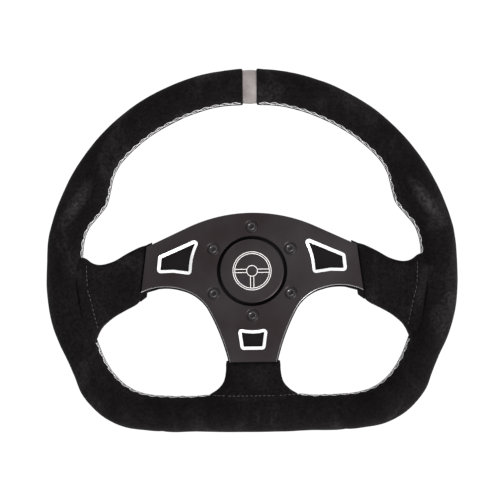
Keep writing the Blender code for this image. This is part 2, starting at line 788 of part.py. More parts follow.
def make_screws():
    sunk = GAP
    radial_clearance = GAP * 1.2
    head_radius = COUNTERSINK_RADIUS - sunk - radial_clearance
    blank = countersunk_screw_mesh("hub_screw", head_radius, SCREW_RADIUS, SCREW_LENGTH, 16)
    hub_screw = with_drive("hub_screw", blank, HEX_ACROSS_FLATS, HEX_DEPTH, SOCKET_MOUTH_RADIUS)
    for k, degrees in enumerate(SCREW_ANGLES, 1):
        spot = (*polar(SCREW_CIRCLE, degrees), FRONT_PLATE_FRONT - sunk)
        place(f"hub_screw_{k}", hub_screw.copy(), BLACK_STEEL, spot)

    head = PLATE_SCREW_HEAD_RADIUS - 0.0002
    blank = countersunk_screw_mesh("plate_screw", head, PLATE_SCREW_RADIUS, PLATE_SCREW_LENGTH, 12)
    plate_screw = with_drive(
        "plate_screw",
        blank,
        PLATE_SCREW_ACROSS_FLATS,
        PLATE_SCREW_HEX_DEPTH,
        PLATE_SCREW_MOUTH_RADIUS,
    )
    for side, (x, y) in PLATE_SCREWS.items():
        spot = (x, y, REAR_PLATE_BACK + 0.0001)
        screw = place(f"plate_screw_{side}", plate_screw.copy(), BLACK_STEEL, spot)
        screw.rotation_euler = (math.radians(180), 0.0, 0.0)


# ---------------------------------------------------------------- quick release
def make_hub():
    groove_top = RETAINER_FRONT + GAP
    groove_bottom = RETAINER_FRONT - RETAINER_THICKNESS - GAP
    profile = [
        (0.0, FLANGE_FRONT),
        (FLANGE_RADIUS - 0.0006, FLANGE_FRONT),
        (FLANGE_RADIUS, FLANGE_FRONT - 0.0006),
        (FLANGE_RADIUS, FLANGE_BACK + 0.0010),
        (FLANGE_RADIUS - 0.0010, FLANGE_BACK),
        (SLEEVE_RADIUS + 0.0010, FLANGE_BACK),
        (SLEEVE_RADIUS, FLANGE_BACK - 0.0010),
        (SLEEVE_RADIUS, groove_top),
        (RETAINER_SEAT_RADIUS, groove_top),
        (RETAINER_SEAT_RADIUS, groove_bottom),
        (SLEEVE_RADIUS, groove_bottom),
        (SLEEVE_RADIUS, SLEEVE_END + 0.0004),
        (SLEEVE_RADIUS - 0.0004, SLEEVE_END),
        (SOCKET_RADIUS + 0.0010, SLEEVE_END),
        (SOCKET_RADIUS, SLEEVE_END + 0.0015),
        (SOCKET_RADIUS, SPLINE_BOTTOM - 0.0008),
        (SPLINE_TIP_RADIUS, SPLINE_BOTTOM),
        (SPLINE_TIP_RADIUS, SPLINE_TOP),
        (SOCKET_RADIUS, SPLINE_TOP),
        (SOCKET_RADIUS, FLANGE_BACK),
        (STOP_PAD_RADIUS, FLANGE_BACK),
        (STOP_PAD_RADIUS, 0.0),
        (0.0, 0.0),
    ]
    hub = place("hub_body", turned_mesh("hub_body", profile, 36, closed=False), COLLAR_METAL)

    pitch = 360 / SPLINE_TEETH
    root = SOCKET_RADIUS - 0.0001
    hollow = SPLINE_TIP_RADIUS - 0.0010
    outline = []
    for k in range(SPLINE_TEETH):
        for radius, share in ((hollow, 0.0), (root, 0.05), (root, 0.45), (hollow, 0.5)):
            outline.append(polar(radius, pitch * (k + share)))
    spline = plate_mesh("spline_cutter", outline, SPLINE_BOTTOM - 0.0012, SPLINE_TOP + 0.0010)
    combine(hub, place_cutter("spline_cutter", spline))

    tapping = cylinder_mesh("tapping", SCREW_HOLE_RADIUS, -0.001, FLANGE_FRONT + 0.001, 12)
    for k, degrees in enumerate(SCREW_ANGLES, 1):
        combine(hub, place_cutter(f"tapping_{k}", tapping, (*polar(SCREW_CIRCLE, degrees), 0.0)))

    # Each ball's hole is stepped, so its narrow lip keeps the ball out of the empty socket.
    bore = BALL_RADIUS + GAP
    lip = BALL_RADIUS - 0.00005
    step = SOCKET_RADIUS + 0.0007
    profile = [(0.0, 0.023), (bore, 0.023), (bore, step), (lip, step), (lip, 0.013), (0.0, 0.013)]
    hole = turned_mesh("ball_hole", profile, 16, closed=False)
    for k in range(BALL_COUNT):
        cutter = place_cutter(f"ball_hole_{k + 1}", hole, (0.0, 0.0, BALL_HEIGHT))
        cutter.rotation_euler = (0.0, math.radians(90), math.radians(ball_angle(k)))
        combine(hub, cutter)


def ball_angle(k):
    return 360 / BALL_COUNT * k


def make_collar():
    """The sliding collar: its inner cone drives the balls inwards as the spring returns it."""
    slope = BALL_TRAVEL / COLLAR_TRAVEL
    cosine = 1 / math.hypot(1, slope)
    cone_at_ball = BALL_CIRCLE + (BALL_RADIUS + GAP / 2) / cosine
    cone_top = BALL_HEIGHT + (cone_at_ball - COLLAR_BORE_RADIUS) / slope
    cone_bottom = BALL_HEIGHT - COLLAR_TRAVEL - 0.0012
    pocket_radius = COLLAR_BORE_RADIUS + (cone_top - cone_bottom) * slope
    profile = [
        (SPRING_POCKET_RADIUS + 0.0004, COLLAR_FRONT),
        (COLLAR_RADIUS - 0.0008, COLLAR_FRONT),
        (COLLAR_RADIUS, COLLAR_FRONT - 0.0008),
    ]
    for groove in COLLAR_GROOVES:
        top = COLLAR_FRONT - groove
        profile += [
            (COLLAR_RADIUS, top),
            (COLLAR_RADIUS - 0.0010, top - 0.0008),
            (COLLAR_RADIUS - 0.0010, top - 0.0018),
            (COLLAR_RADIUS, top - 0.0026),
        ]
    profile += [
        (COLLAR_RADIUS, COLLAR_BACK + 0.0010),
        (COLLAR_RADIUS - 0.0010, COLLAR_BACK),
        (END_RING_RADIUS + GAP, COLLAR_BACK),
        (END_RING_RADIUS + GAP, BALL_POCKET_BOTTOM),
        (pocket_radius, BALL_POCKET_BOTTOM),
        (pocket_radius, cone_bottom),
        (COLLAR_BORE_RADIUS, cone_top),
        (COLLAR_BORE_RADIUS, SPRING_POCKET_BOTTOM),
        (SPRING_POCKET_RADIUS, SPRING_POCKET_BOTTOM),
        (SPRING_POCKET_RADIUS, COLLAR_FRONT - 0.0004),
    ]
    shifted = [(radius, height - COLLAR_FRONT) for radius, height in profile]
    collar = turned_mesh("lock_collar", shifted, 36, closed=True)
    place("lock_collar", collar, COLLAR_METAL, parent=COLLAR_AXIS)

    top = BALL_POCKET_BOTTOM - GAP - COLLAR_FRONT
    ring = [
        (COLLAR_BORE_RADIUS, top),
        (END_RING_RADIUS, top),
        (END_RING_RADIUS, top - END_RING_THICKNESS),
        (COLLAR_BORE_RADIUS, top - END_RING_THICKNESS),
    ]
    end_ring = turned_mesh("collar_end_ring", ring, 36, closed=True)
    place("collar_end_ring", end_ring, BARE_STEEL, parent=COLLAR_AXIS)


def make_spring():
    top = FLANGE_BACK - GAP - SPRING_WIRE_RADIUS
    bottom = SPRING_POCKET_BOTTOM + GAP + SPRING_WIRE_RADIUS
    points_per_turn = 12
    count = round(SPRING_TURNS * points_per_turn)
    route = []
    for i in range(count + 1):
        t = i / count
        x, y = polar(SPRING_RADIUS, 360 * SPRING_TURNS * t)
        route.append((x, y, top + (bottom - top) * t))
    place("collar_spring", tube_mesh("collar_spring", route, SPRING_WIRE_RADIUS, False), BARE_STEEL)


def make_retainer():
    top = RETAINER_FRONT
    bottom = RETAINER_FRONT - RETAINER_THICKNESS
    inner = RETAINER_SEAT_RADIUS + GAP
    ring = [(inner, top), (RETAINER_RADIUS, top), (RETAINER_RADIUS, bottom), (inner, bottom)]
    retainer = place("retaining_ring", turned_mesh("retaining_ring", ring, 30, closed=True), BARE_STEEL)
    opening = [(-0.003, -0.030), (0.003, -0.030), (0.003, -0.015), (-0.003, -0.015)]
    mouth = plate_mesh("retainer_mouth", opening, bottom - 0.001, top + 0.001)
    combine(retainer, place_cutter("retainer_mouth", mouth))


def make_balls():
    mesh = bpy.data.meshes.new("lock_ball")
    bm = bmesh.new()
    bmesh.ops.create_uvsphere(bm, u_segments=12, v_segments=7, radius=BALL_RADIUS)
    bm.to_mesh(mesh)
    bm.free()
    for k in range(BALL_COUNT):
        spot = (*polar(BALL_CIRCLE, ball_angle(k)), BALL_HEIGHT)
        place(f"lock_ball_{k + 1}", mesh.copy(), BARE_STEEL, spot)


make_rim()
make_sleeves()
make_plates()
make_cap()
make_screws()
make_hub()
make_collar()
make_spring()
make_retainer()
make_balls()
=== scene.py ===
"""Looks of the quick release steering wheel: suede, machined plates, thread and the release collar.

Shapes are built in the wheel's own face frame, where a point is (x, y, height): x to the right,
y up, and height towards the driver from the socket's stop face. world() turns it into the frame
that the CAD model uses, where the front of the wheel faces -Y. Lengths are in metres.
"""

import math

import bmesh
import bpy
from mathutils import Matrix, Vector, geometry, noise
from mathutils.bvhtree import BVHTree

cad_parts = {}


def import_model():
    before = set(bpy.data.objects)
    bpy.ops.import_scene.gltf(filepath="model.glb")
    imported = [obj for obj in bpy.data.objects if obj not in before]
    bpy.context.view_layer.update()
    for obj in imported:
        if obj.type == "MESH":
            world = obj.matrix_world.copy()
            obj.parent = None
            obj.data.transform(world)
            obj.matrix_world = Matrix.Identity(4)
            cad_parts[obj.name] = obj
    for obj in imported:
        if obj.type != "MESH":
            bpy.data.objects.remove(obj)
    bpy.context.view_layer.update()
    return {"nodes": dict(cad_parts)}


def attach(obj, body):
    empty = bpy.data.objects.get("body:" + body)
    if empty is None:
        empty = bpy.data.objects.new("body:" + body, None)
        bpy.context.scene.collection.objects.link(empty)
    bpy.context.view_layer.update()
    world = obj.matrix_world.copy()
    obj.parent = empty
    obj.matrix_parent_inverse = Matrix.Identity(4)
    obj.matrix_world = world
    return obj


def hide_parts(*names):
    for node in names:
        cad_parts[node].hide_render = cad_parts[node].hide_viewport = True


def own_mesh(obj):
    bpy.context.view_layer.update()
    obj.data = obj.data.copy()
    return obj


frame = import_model()

# ---------------- sizes shared with the CAD model
RIM_OUTLINE = [
    (90, 0.1606, 0.1322),
    (80, 0.1606, 0.1331),
    (65, 0.1607, 0.1333),
    (50, 0.1610, 0.1341),
    (40, 0.1612, 0.1343),
    (35, 0.1614, 0.1324),
    (30, 0.1617, 0.1285),
    (25, 0.1619, 0.1262),
    (20, 0.1622, 0.1293),
    (15, 0.1627, 0.1337),
    (10, 0.1630, 0.1348),
    (2, 0.1623, 0.1339),
    (-12, 0.1634, 0.1336),
    (-20, 0.1627, 0.1337),
    (-25, 0.1619, 0.1343),
    (-30, 0.1631, 0.1353),
    (-35, 0.1658, 0.1357),
    (-40, 0.1657, 0.1347),
    (-45, 0.1636, 0.1315),
    (-50, 0.1591, 0.1259),
    (-55, 0.1520, 0.1190),
    (-60, 0.1450, 0.1128),
    (-70, 0.1344, 0.1032),
    (-80, 0.1290, 0.0986),
    (-90, 0.1272, 0.0971),
]
RIM_DEPTH = 0.030
RIM_SQUARENESS = 2.3
RIM_HEIGHT = 0.0131
BAND_WIDTH = 0.0107
BAND_RECESS = 0.0014
SUEDE_THICKNESS = 0.0012

FRONT_PLATE_BACK = 0.0159
FRONT_PLATE_FRONT = 0.0189
REAR_PLATE_BACK = 0.0083
REAR_PLATE_FRONT = 0.0103
CAP_TOP = 0.0193
CAP_RADIUS = 0.0252
PLATE_BORE_RADIUS = 0.02765
WINDOW_CHAMFER = 0.0024
CUT_OUT_STEP = 0.0012
ARCH_END = 62.5
FRONT_ARCH_END = 63.7
SCREW_CIRCLE = 0.035
SCREW_ANGLES = [90, 30, -30, -90, -150, 150]
COUNTERSINK_RADIUS = 0.00525
HUB_SCREW_HOLE = 0.0028
# Head radius, shank radius, length, width across the socket's flats and socket depth.
HUB_SCREW = (0.00459, 0.0025, 0.016, 0.004, 0.0022)
PLATE_SCREW = (0.0029, 0.0015, 0.0095, 0.002, 0.0013)
PLATE_SCREWS = {"left": (-0.0800, 0.0040), "right": (0.0800, 0.0040), "bottom": (0.0, -0.0670)}

# Top corner, bottom corner, back height and front height of the right sleeve's sections.
SIDE_SLEEVE = [
    ((0.0788, 0.0238), (0.0836, -0.0196), 0.0104, 0.0158),
    ((0.0832, 0.0219), (0.0882, -0.0230), 0.0104, 0.0158),
    ((0.0836, 0.0215), (0.0892, -0.0230), 0.0089, 0.0172),
    ((0.0850, 0.0212), (0.0898, -0.0237), 0.0083, 0.0180),
    ((0.0900, 0.0195), (0.0930, -0.0262), 0.0072, 0.0192),
    ((0.0990, 0.0150), (0.1000, -0.0298), 0.0065, 0.0198),
    ((0.1090, 0.0093), (0.1092, -0.0350), 0.0060, 0.0204),
    ((0.1190, 0.0066), (0.1172, -0.0415), 0.0050, 0.0214),
    ((0.1262, 0.0080), (0.1212, -0.0470), 0.0030, 0.0232),
    ((0.1325, 0.0122), (0.1250, -0.0545), 0.0010, 0.0250),
    ((0.1400, 0.0130), (0.1300, -0.0560), 0.0010, 0.0250),
]
# Half width, how far down, back height and front height of the bottom sleeve's sections.
BOTTOM_SLEEVE = [
    (0.0212, -0.0707, 0.0105, 0.0157),
    (0.0213, -0.0720, 0.0105, 0.0157),
    (0.0215, -0.0724, 0.0089, 0.0172),
    (0.0216, -0.0738, 0.0083, 0.0180),
    (0.0217, -0.0780, 0.0072, 0.0192),
    (0.0226, -0.0840, 0.0062, 0.0200),
    (0.0246, -0.0888, 0.0052, 0.0210),
    (0.0290, -0.0935, 0.0036, 0.0226),
    (0.0360, -0.0985, 0.0010, 0.0250),
    (0.0380, -0.1060, 0.0010, 0.0250),
]

COLLAR_FRONT = -0.0080
COLLAR_BACK = -0.03465
COLLAR_RADIUS = 0.030
BALL_RADIUS = 0.00375
BALL_HEIGHT = -0.0200
BALL_CIRCLE = 0.01825


def world(point):
    x, y, height = point
    return Vector((x, -height, y))


def polar(radius, degrees):
    angle = math.radians(degrees)
    return radius * math.cos(angle), radius * math.sin(angle)


def circle(x, y, radius, steps):
    spots = (polar(radius, 360 * k / steps) for k in range(steps))
    return [(x + px, y + py) for px, py in spots]


def oval(across, along, squareness):
    """1 on a squarish oval that reaches 1 each way, less inside it and more outside it."""
    return (abs(across) ** squareness + abs(along) ** squareness) ** (1 / squareness)


# ---------------- materials
def new_material(name, roughness, metallic, specular=0.5):
    """A material, its node tree and its shader."""
    material = bpy.data.materials.new(name)
    material.use_nodes = True
    tree = material.node_tree
    shader = tree.nodes["Principled BSDF"]
    shader.inputs["Roughness"].default_value = roughness
    shader.inputs["Metallic"].default_value = metallic
    shader.inputs["Specular IOR Level"].default_value = specular
    return material, tree, shader


def object_space(tree):
    return tree.nodes.new("ShaderNodeTexCoord").outputs["Object"]


def noise_node(tree, scale, detail, stretch=(1.0, 1.0, 1.0), distortion=0.0):
    """Noise in object space, stretched along the axes."""
    mapping = tree.nodes.new("ShaderNodeMapping")
    mapping.inputs["Scale"].default_value = stretch
    texture = tree.nodes.new("ShaderNodeTexNoise")
    texture.inputs["Scale"].default_value = scale
    texture.inputs["Detail"].default_value = detail
    texture.inputs["Distortion"].default_value = distortion
    tree.links.new(object_space(tree), mapping.inputs["Vector"])
    tree.links.new(mapping.outputs["Vector"], texture.inputs["Vector"])
    return texture


def ramp_node(tree, source, stops):
    """A colour ramp with the given (place, colour) stops."""
    ramp = tree.nodes.new("ShaderNodeValToRGB")
    elements = ramp.color_ramp.elements
    elements[0].position, elements[0].color = stops[0][0], (*stops[0][1], 1.0)
    elements[1].position, elements[1].color = stops[-1][0], (*stops[-1][1], 1.0)
    for position, colour in stops[1:-1]:
        element = elements.new(position)
        element.color = (*colour, 1.0)
    tree.links.new(source, ramp.inputs["Fac"])
    return ramp.outputs["Color"]


def cloudy_colour(tree, shader, scale, detail, dark, pale, places):
    """Noise that runs the base colour from dark to pale between two places on its scale."""
    clouds = noise_node(tree, scale, detail)
    colour = ramp_node(tree, clouds.outputs["Fac"], [(places[0], dark), (places[1], pale)])
    tree.links.new(colour, shader.inputs["Base Color"])
    return clouds.outputs["Fac"]


def bump_node(tree, source, strength, distance, below=None):
    """A bumped normal, laid over the one below it."""
    bump = tree.nodes.new("ShaderNodeBump")
    bump.inputs["Strength"].default_value = strength
    bump.inputs["Distance"].default_value = distance
    tree.links.new(source, bump.inputs["Height"])
    if below is not None:
        tree.links.new(below, bump.inputs["Normal"])
    return bump.outputs["Normal"]


def roughness_range(tree, source, shader, low, high):
    """Roughness that varies with the source between low and high."""
    spread = tree.nodes.new("ShaderNodeMapRange")
    spread.inputs["To Min"].default_value = low
    spread.inputs["To Max"].default_value = high
    tree.links.new(source, spread.inputs["Value"])
    tree.links.new(spread.outputs["Result"], shader.inputs["Roughness"])


def painted_highlight_node(tree):
    """A painted highlight: a soft streak of paler colour on each side of the rim, over the grips, where
    light catches the nap.
    """
    split = tree.nodes.new("ShaderNodeSeparateXYZ")
    either_side = tree.nodes.new("ShaderNodeMath")
    either_side.operation = "ABSOLUTE"
    joined = tree.nodes.new("ShaderNodeCombineXYZ")
    tree.links.new(object_space(tree), split.inputs["Vector"])
    tree.links.new(split.outputs["X"], either_side.inputs[0])
    tree.links.new(either_side.outputs["Value"], joined.inputs["X"])
    tree.links.new(split.outputs["Y"], joined.inputs["Y"])
    tree.links.new(split.outputs["Z"], joined.inputs["Z"])
    mapping = tree.nodes.new("ShaderNodeMapping")
    mapping.vector_type = "TEXTURE"
    mapping.inputs["Location"].default_value = (0.1375, -0.026, 0.052)
    mapping.inputs["Rotation"].default_value = (0.0, math.radians(54), 0.0)
    mapping.inputs["Scale"].default_value = (0.026, 0.030, 0.0068)
    streak = tree.nodes.new("ShaderNodeTexGradient")
    streak.gradient_type = "SPHERICAL"
    tree.links.new(joined.outputs["Vector"], mapping.inputs["Vector"])
    tree.links.new(mapping.outputs["Vector"], streak.inputs["Vector"])
    return streak.outputs["Fac"]


def suede_material(name, dark, mid, pale, painted_highlight=None):
    """Napped suede: cloudy brushed patches over a fine nap, and, when a paler colour is given, a painted
    highlight in it over each grip.
    """
    material, tree, shader = new_material(name, 0.95, 0.0, 0.08)
    patches = noise_node(tree, 42.0, 7.0, (1.0, 1.0, 0.6), 0.6)
    cloudy = ramp_node(tree, patches.outputs["Fac"], [(0.34, dark), (0.52, mid), (0.72, pale)])
    # painted highlight: the paler colour is mixed in over each grip, standing in for light on the nap
    if painted_highlight is not None:
        highlight_mix = tree.nodes.new("ShaderNodeMix")
        highlight_mix.data_type = "RGBA"
        highlight_mix.inputs["B"].default_value = (*painted_highlight, 1.0)
        tree.links.new(painted_highlight_node(tree), highlight_mix.inputs["Factor"])
        tree.links.new(cloudy, highlight_mix.inputs["A"])
        cloudy = highlight_mix.outputs["Result"]
    nap = noise_node(tree, 480.0, 5.0)
    speckle = ramp_node(tree, nap.outputs["Fac"], [(0.36, (0.45, 0.45, 0.45)), (0.66, (1.65, 1.60, 1.62))])
    mix = tree.nodes.new("ShaderNodeMix")
    mix.data_type = "RGBA"
    mix.blend_type = "MULTIPLY"
    mix.inputs["Factor"].default_value = 1.0
    tree.links.new(cloudy, mix.inputs["A"])
    tree.links.new(speckle, mix.inputs["B"])
    tree.links.new(mix.outputs["Result"], shader.inputs["Base Color"])
    creases = noise_node(tree, 140.0, 3.0, (1.0, 1.0, 1.0), 0.4)
    under = bump_node(tree, creases.outputs["Fac"], 0.25, 0.0006)
    tree.links.new(bump_node(tree, nap.outputs["Fac"], 0.55, 0.0003, under), shader.inputs["Normal"])
    shader.inputs["Sheen Weight"].default_value = 0.025
    shader.inputs["Sheen Roughness"].default_value = 0.45
    shader.inputs["Sheen Tint"].default_value = (0.55, 0.52, 0.53, 1.0)
    return material


def leather_material(name, dark, pale):
    """A soft skin with fine cells over slow creases: leather, moulded foam, rubber or ink."""
    material, tree, shader = new_material(name, 0.55, 0.0, 0.4)
    clouds = cloudy_colour(tree, shader, 60.0, 5.0, dark, pale, (0.30, 0.72))
    grain = tree.nodes.new("ShaderNodeTexVoronoi")
    grain.inputs["Scale"].default_value = 950.0
    tree.links.new(object_space(tree), grain.inputs["Vector"])
    under = bump_node(tree, clouds, 0.4, 0.0006)
    tree.links.new(bump_node(tree, grain.outputs["Distance"], 0.45, 0.00025, under), shader.inputs["Normal"])
    roughness_range(tree, clouds, shader, 0.45, 0.65)
    return material


def metal_material(
    name, dark, pale, scale, low, high, metallic=0.9, stretch=(1.0, 1.0, 1.0), grain=0.0001, specular=0.5
):
    """Metal with a slightly cloudy finish and a fine blasted or turned grain."""
    material, tree, shader = new_material(name, low, metallic, specular)
    clouds = cloudy_colour(tree, shader, scale, 4.0, dark, pale, (0.30, 0.70))
    roughness_range(tree, clouds, shader, low, high)
    fine = noise_node(tree, 1600.0, 2.0, stretch)
    tree.links.new(bump_node(tree, fine.outputs["Fac"], 0.25, grain), shader.inputs["Normal"])
    return material


def thread_material(name, dark, pale):
    """Waxed polyester thread with a little dirt in its twist."""
    material, tree, shader = new_material(name, 0.6, 0.0, 0.4)
    twist = cloudy_colour(tree, shader, 1400.0, 2.0, dark, pale, (0.32, 0.60))
    tree.links.new(bump_node(tree, twist, 0.6, 0.0002), shader.inputs["Normal"])
    return material


RIM_SUEDE = suede_material(
    "rim_suede",
    (0.0016, 0.0011, 0.0013),
    (0.0030, 0.0024, 0.0026),
    (0.0092, 0.0082, 0.0086),
    # paler colour of the painted highlight over the grips
    painted_highlight=(0.017, 0.0153, 0.0158),
)
SLEEVE_SUEDE = suede_material(
    "sleeve_suede", (0.0018, 0.0013, 0.0015), (0.0032, 0.0026, 0.0028), (0.0072, 0.0063, 0.0067)
)
SEAM_THREAD = thread_material("seam_thread", (0.022, 0.021, 0.0215), (0.085, 0.082, 0.083))
BAND = leather_material("band_leather", (0.105, 0.090, 0.087), (0.25, 0.225, 0.22))
THREAD = thread_material("lacing_thread", (0.30, 0.29, 0.29), (0.80, 0.79, 0.79))
ANODISED = metal_material(
    "plate_anodised", (0.0200, 0.0142, 0.0155), (0.0345, 0.0308, 0.0322), 22.0, 0.36, 0.44
)
CHAMFER = metal_material(
    "bare_chamfer", (0.93, 0.93, 0.93), (0.98, 0.98, 0.98), 60.0, 0.30, 0.42, 0.6, grain=0.00004
)
# paler metal for the eased edge of the lower cut-outs: a painted reflection of the light the anodised edge
# catches there
PAINTED_EDGE_REFLECTION = metal_material(
    "painted_edge_reflection", (0.44, 0.43, 0.43), (0.56, 0.55, 0.55), 60.0, 0.26, 0.34, 1.0, grain=0.00004
)
FRAME_BLACK = metal_material(
    "frame_black", (0.0058, 0.0050, 0.0052), (0.0088, 0.0078, 0.0080), 40.0, 0.75, 0.85, 0.0, specular=0.0
)
SIDE_BLACK = metal_material(
    "side_black", (0.0022, 0.0020, 0.0020), (0.0045, 0.0042, 0.0042), 40.0, 0.9, 1.0, 0.0, specular=0.0
)
SOCKET_EDGE = metal_material(
    "socket_edge", (0.060, 0.057, 0.058), (0.090, 0.085, 0.087), 220.0, 0.14, 0.18, 1.0
)
SCREW_BLACK = metal_material("screw_black", (0.014, 0.012, 0.013), (0.026, 0.024, 0.025), 220.0, 0.28, 0.42)
EMBLEM = leather_material("emblem_ink", (0.66, 0.62, 0.62), (0.78, 0.75, 0.75))
HUB_METAL = metal_material("hub_metal", (0.040, 0.040, 0.043), (0.065, 0.065, 0.070), 50.0, 0.30, 0.42)
COLLAR_METAL = metal_material(
    "collar_metal", (0.030, 0.030, 0.033), (0.055, 0.055, 0.060), 70.0, 0.26, 0.38, 0.95, (1.0, 6.0, 1.0)
)
BARE_STEEL = metal_material("bare_steel", (0.48, 0.48, 0.49), (0.66, 0.66, 0.67), 120.0, 0.18, 0.32, 1.0)
CORE_METAL = metal_material("core_metal", (0.50, 0.51, 0.53), (0.62, 0.63, 0.65), 90.0, 0.35, 0.50, 1.0)
FOAM = leather_material("rim_foam", (0.020, 0.020, 0.021), (0.035, 0.035, 0.037))
RUBBER = leather_material("rubber", (0.008, 0.008, 0.008), (0.014, 0.014, 0.014))


# ---------------- building pieces
class Shape:
    """Points in the face frame, faces and material tags, gathered before they become one piece."""

    def __init__(self):
        self.points = []
        self.faces = []
        self.tags = []

    def ring(self, points):
        start = len(self.points)
        self.points.extend(points)
        return list(range(start, len(self.points)))

    def strip(self, one, other, tag=0):
        """Quads between two closed rings of equal length; tag is a number or one for each quad."""
        count = len(one)
        for i in range(count):
            j = (i + 1) % count
            self.faces.append((one[i], one[j], other[j], other[i]))
            self.tags.append(tag[i] if isinstance(tag, list) else tag)

    def cap(self, ring):
        """A fan that closes a ring round its middle."""
        middle = [sum(self.points[i][axis] for i in ring) / len(ring) for axis in range(3)]
        centre = len(self.points)
        self.points.append(tuple(middle))
        count = len(ring)
        for i in range(count):
            self.faces.append((ring[i], ring[(i + 1) % count], centre))
            self.tags.append(0)

    def skin(self, rings, closed=False):
        """Walls between rings in a row, which runs round to its start if it's closed, or has ends."""
        for one, other in zip(rings, rings[1:]):
            self.strip(one, other)
        if closed:
            self.strip(rings[-1], rings[0])
        else:
            self.cap(rings[0])
            self.cap(rings[-1])

    def lathe(self, profile, steps, closed, radius_at=None):
        """A (radius, height) profile turned about the axis; radius_at can vary its radius."""
        rings = []
        for k, (radius, height) in enumerate(profile):
            turned = []
            for i in range(steps):
                degrees = 360 * i / steps
                reach = radius if radius_at is None else radius_at(k, radius, height, degrees)
                turned.append((*polar(reach, degrees), height))
            rings.append(self.ring(turned))
        self.skin(rings, closed)

    def surface(self):
        return BVHTree.FromPolygons([world(point) for point in self.points], self.faces)

    def make(self, name, materials, slot, sharp, body="wheel"):
        """The finished piece, riding on a body of the CAD model; edges past sharp degrees stay crisp."""
        mesh = bpy.data.meshes.new(name)
        mesh.from_pydata([world(point) for point in self.points], [], self.faces)
        for material in materials:
            mesh.materials.append(material)
        mesh.polygons.foreach_set("material_index", self.tags)
        bm = bmesh.new()
        bm.from_mesh(mesh)
        bmesh.ops.recalc_face_normals(bm, faces=bm.faces)
        bm.to_mesh(mesh)
        bm.free()
        mesh.shade_smooth()
        mesh.set_sharp_from_angle(angle=math.radians(sharp))
        built = bpy.data.objects.new(name, mesh)
        bpy.context.scene.collection.objects.link(built)
        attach(built, body)
        return built


def tube(shape, route, radius, sides):
    """A round thread or wire along a route."""
    rings = []
    side = None
    for k, spot in enumerate(route):
        before = Vector(route[max(k - 1, 0)])
        after = Vector(route[min(k + 1, len(route) - 1)])
        along = (after - before).normalized()
        if side is None:
            side = along.orthogonal()
        side = (side - along * side.dot(along)).normalized()
        up = along.cross(side)
        ring = []
        for i in range(sides):
            turn = 2 * math.pi * i / sides
            offset = (side * math.cos(turn) + up * math.sin(turn)) * radius
            ring.append(tuple(Vector(spot) + offset))
        rings.append(shape.ring(ring))
    shape.skin(rings)


# ---------------- rim
def cubic(p0, p1, p2, p3, t):
    """A smooth value from p1 to p2 as t goes from 0 to 1, guided by their neighbours."""
    return p1 + 0.5 * t * (p2 - p0 + t * (2 * p0 - 5 * p1 + 4 * p2 - p3 + t * (3 * (p1 - p2) + p3 - p0)))


def right_hand(degrees):
    """The angle from -90 to 90 on the right that this one mirrors."""
    angle = (degrees + 90) % 360 - 90
    return 180 - angle if angle > 90 else angle


def rim_radii(degrees):
    """Outer and inner radius of the suede rim at an angle, the same on both sides."""
    angle = right_hand(degrees)
    rows = RIM_OUTLINE
    k = max(i for i in range(len(rows) - 1) if angle <= rows[i][0] + 1e-9)
    t = (angle - rows[k][0]) / (rows[k + 1][0] - rows[k][0])
    before = rows[k - 1] if k else rows[1]
    after = rows[k + 2] if k + 2 < len(rows) else rows[-2]
    return [cubic(before[c], rows[k][c], rows[k + 1][c], after[c], t) for c in (1, 2)]


def rim_point(degrees, turn, inset=0.0, shift=0.0):
    """A point on the rim's section; turn is 0 on the outer side, 90 at the front, 180 inside."""
    outer, inner = rim_radii(degrees)
    half_width = (outer - inner) / 2 - inset
    half_depth = RIM_DEPTH / 2 - inset
    across = math.cos(math.radians(turn))
    along = math.sin(math.radians(turn))
    reach = 1 / oval(across, along, RIM_SQUARENESS)
    x, y = polar((outer + inner) / 2 + half_width * across * reach, degrees)
    return x + shift, y, RIM_HEIGHT + half_depth * along * reach


def rim_depth(point):
    """Below 1 inside the rim's suede, above 1 outside it."""
    x, y, height = point
    outer, inner = rim_radii(math.degrees(math.atan2(y, x)))
    across = (math.hypot(x, y) - (outer + inner) / 2) / ((outer - inner) / 2)
    along = (height - RIM_HEIGHT) / (RIM_DEPTH / 2)
    return oval(across, along, RIM_SQUARENESS)


def rim_outward(point, degrees):
    """The way out of the rim's section at a point on it."""
    x, y, height = point
    centre_x, centre_y = polar(sum(rim_radii(degrees)) / 2, degrees)
    return Vector((x - centre_x, y - centre_y, height - RIM_HEIGHT)).normalized()


SEAM_TURN = 163.0
LENGTH_PER_TURN = 0.00026  # how far a degree of turn goes round the section near the seam
STITCH_PITCH = 0.0080
THREAD_RADIUS = 0.00022
STITCH_SWING = 0.00155
RIM_STEPS = 480
FOLD_STEPS = 5
BAND_HALF = BAND_WIDTH / 2

# The laced stretches, by angle: from the band round to each sleeve, and between the sleeves.
LACED = [(86.9, 5.2), (-24.0, -70.5)]


def rim_turns():
    """Angles round the section, close together at the laced seam."""
    near = [SEAM_TURN + d for d in (-12, -8, -5.5, -4, -2.8, -1.8, -0.9, 0, 0.9, 1.8, 2.8, 4, 5.5, 8, 12)]
    far = [t for t in range(0, 360, 8) if abs(t - SEAM_TURN) > 16]
    return sorted(near + far)


def is_laced(degrees):
    return any(low <= right_hand(degrees) <= high for high, low in LACED)


def hand_wrapped(point, degrees, turn, arc_length):
    """The suede's small unevenness, and the valley and puckers where it is laced together."""
    lumps = noise.noise(Vector(point) * 55) * 0.00022 + noise.noise(Vector(point) * 190) * 0.00007
    off_seam = (turn - SEAM_TURN) * LENGTH_PER_TURN
    valley = math.exp(-((off_seam / 0.0009) ** 2)) * 0.00050
    pucker = math.exp(-((off_seam / 0.0028) ** 2)) * 0.00014
    pucker *= math.cos(2 * math.pi * arc_length / STITCH_PITCH) if is_laced(degrees) else 0.0
    moved = rim_outward(point, degrees) * (lumps - valley - 0.00012 + pucker)
    return tuple(Vector(point) + moved)


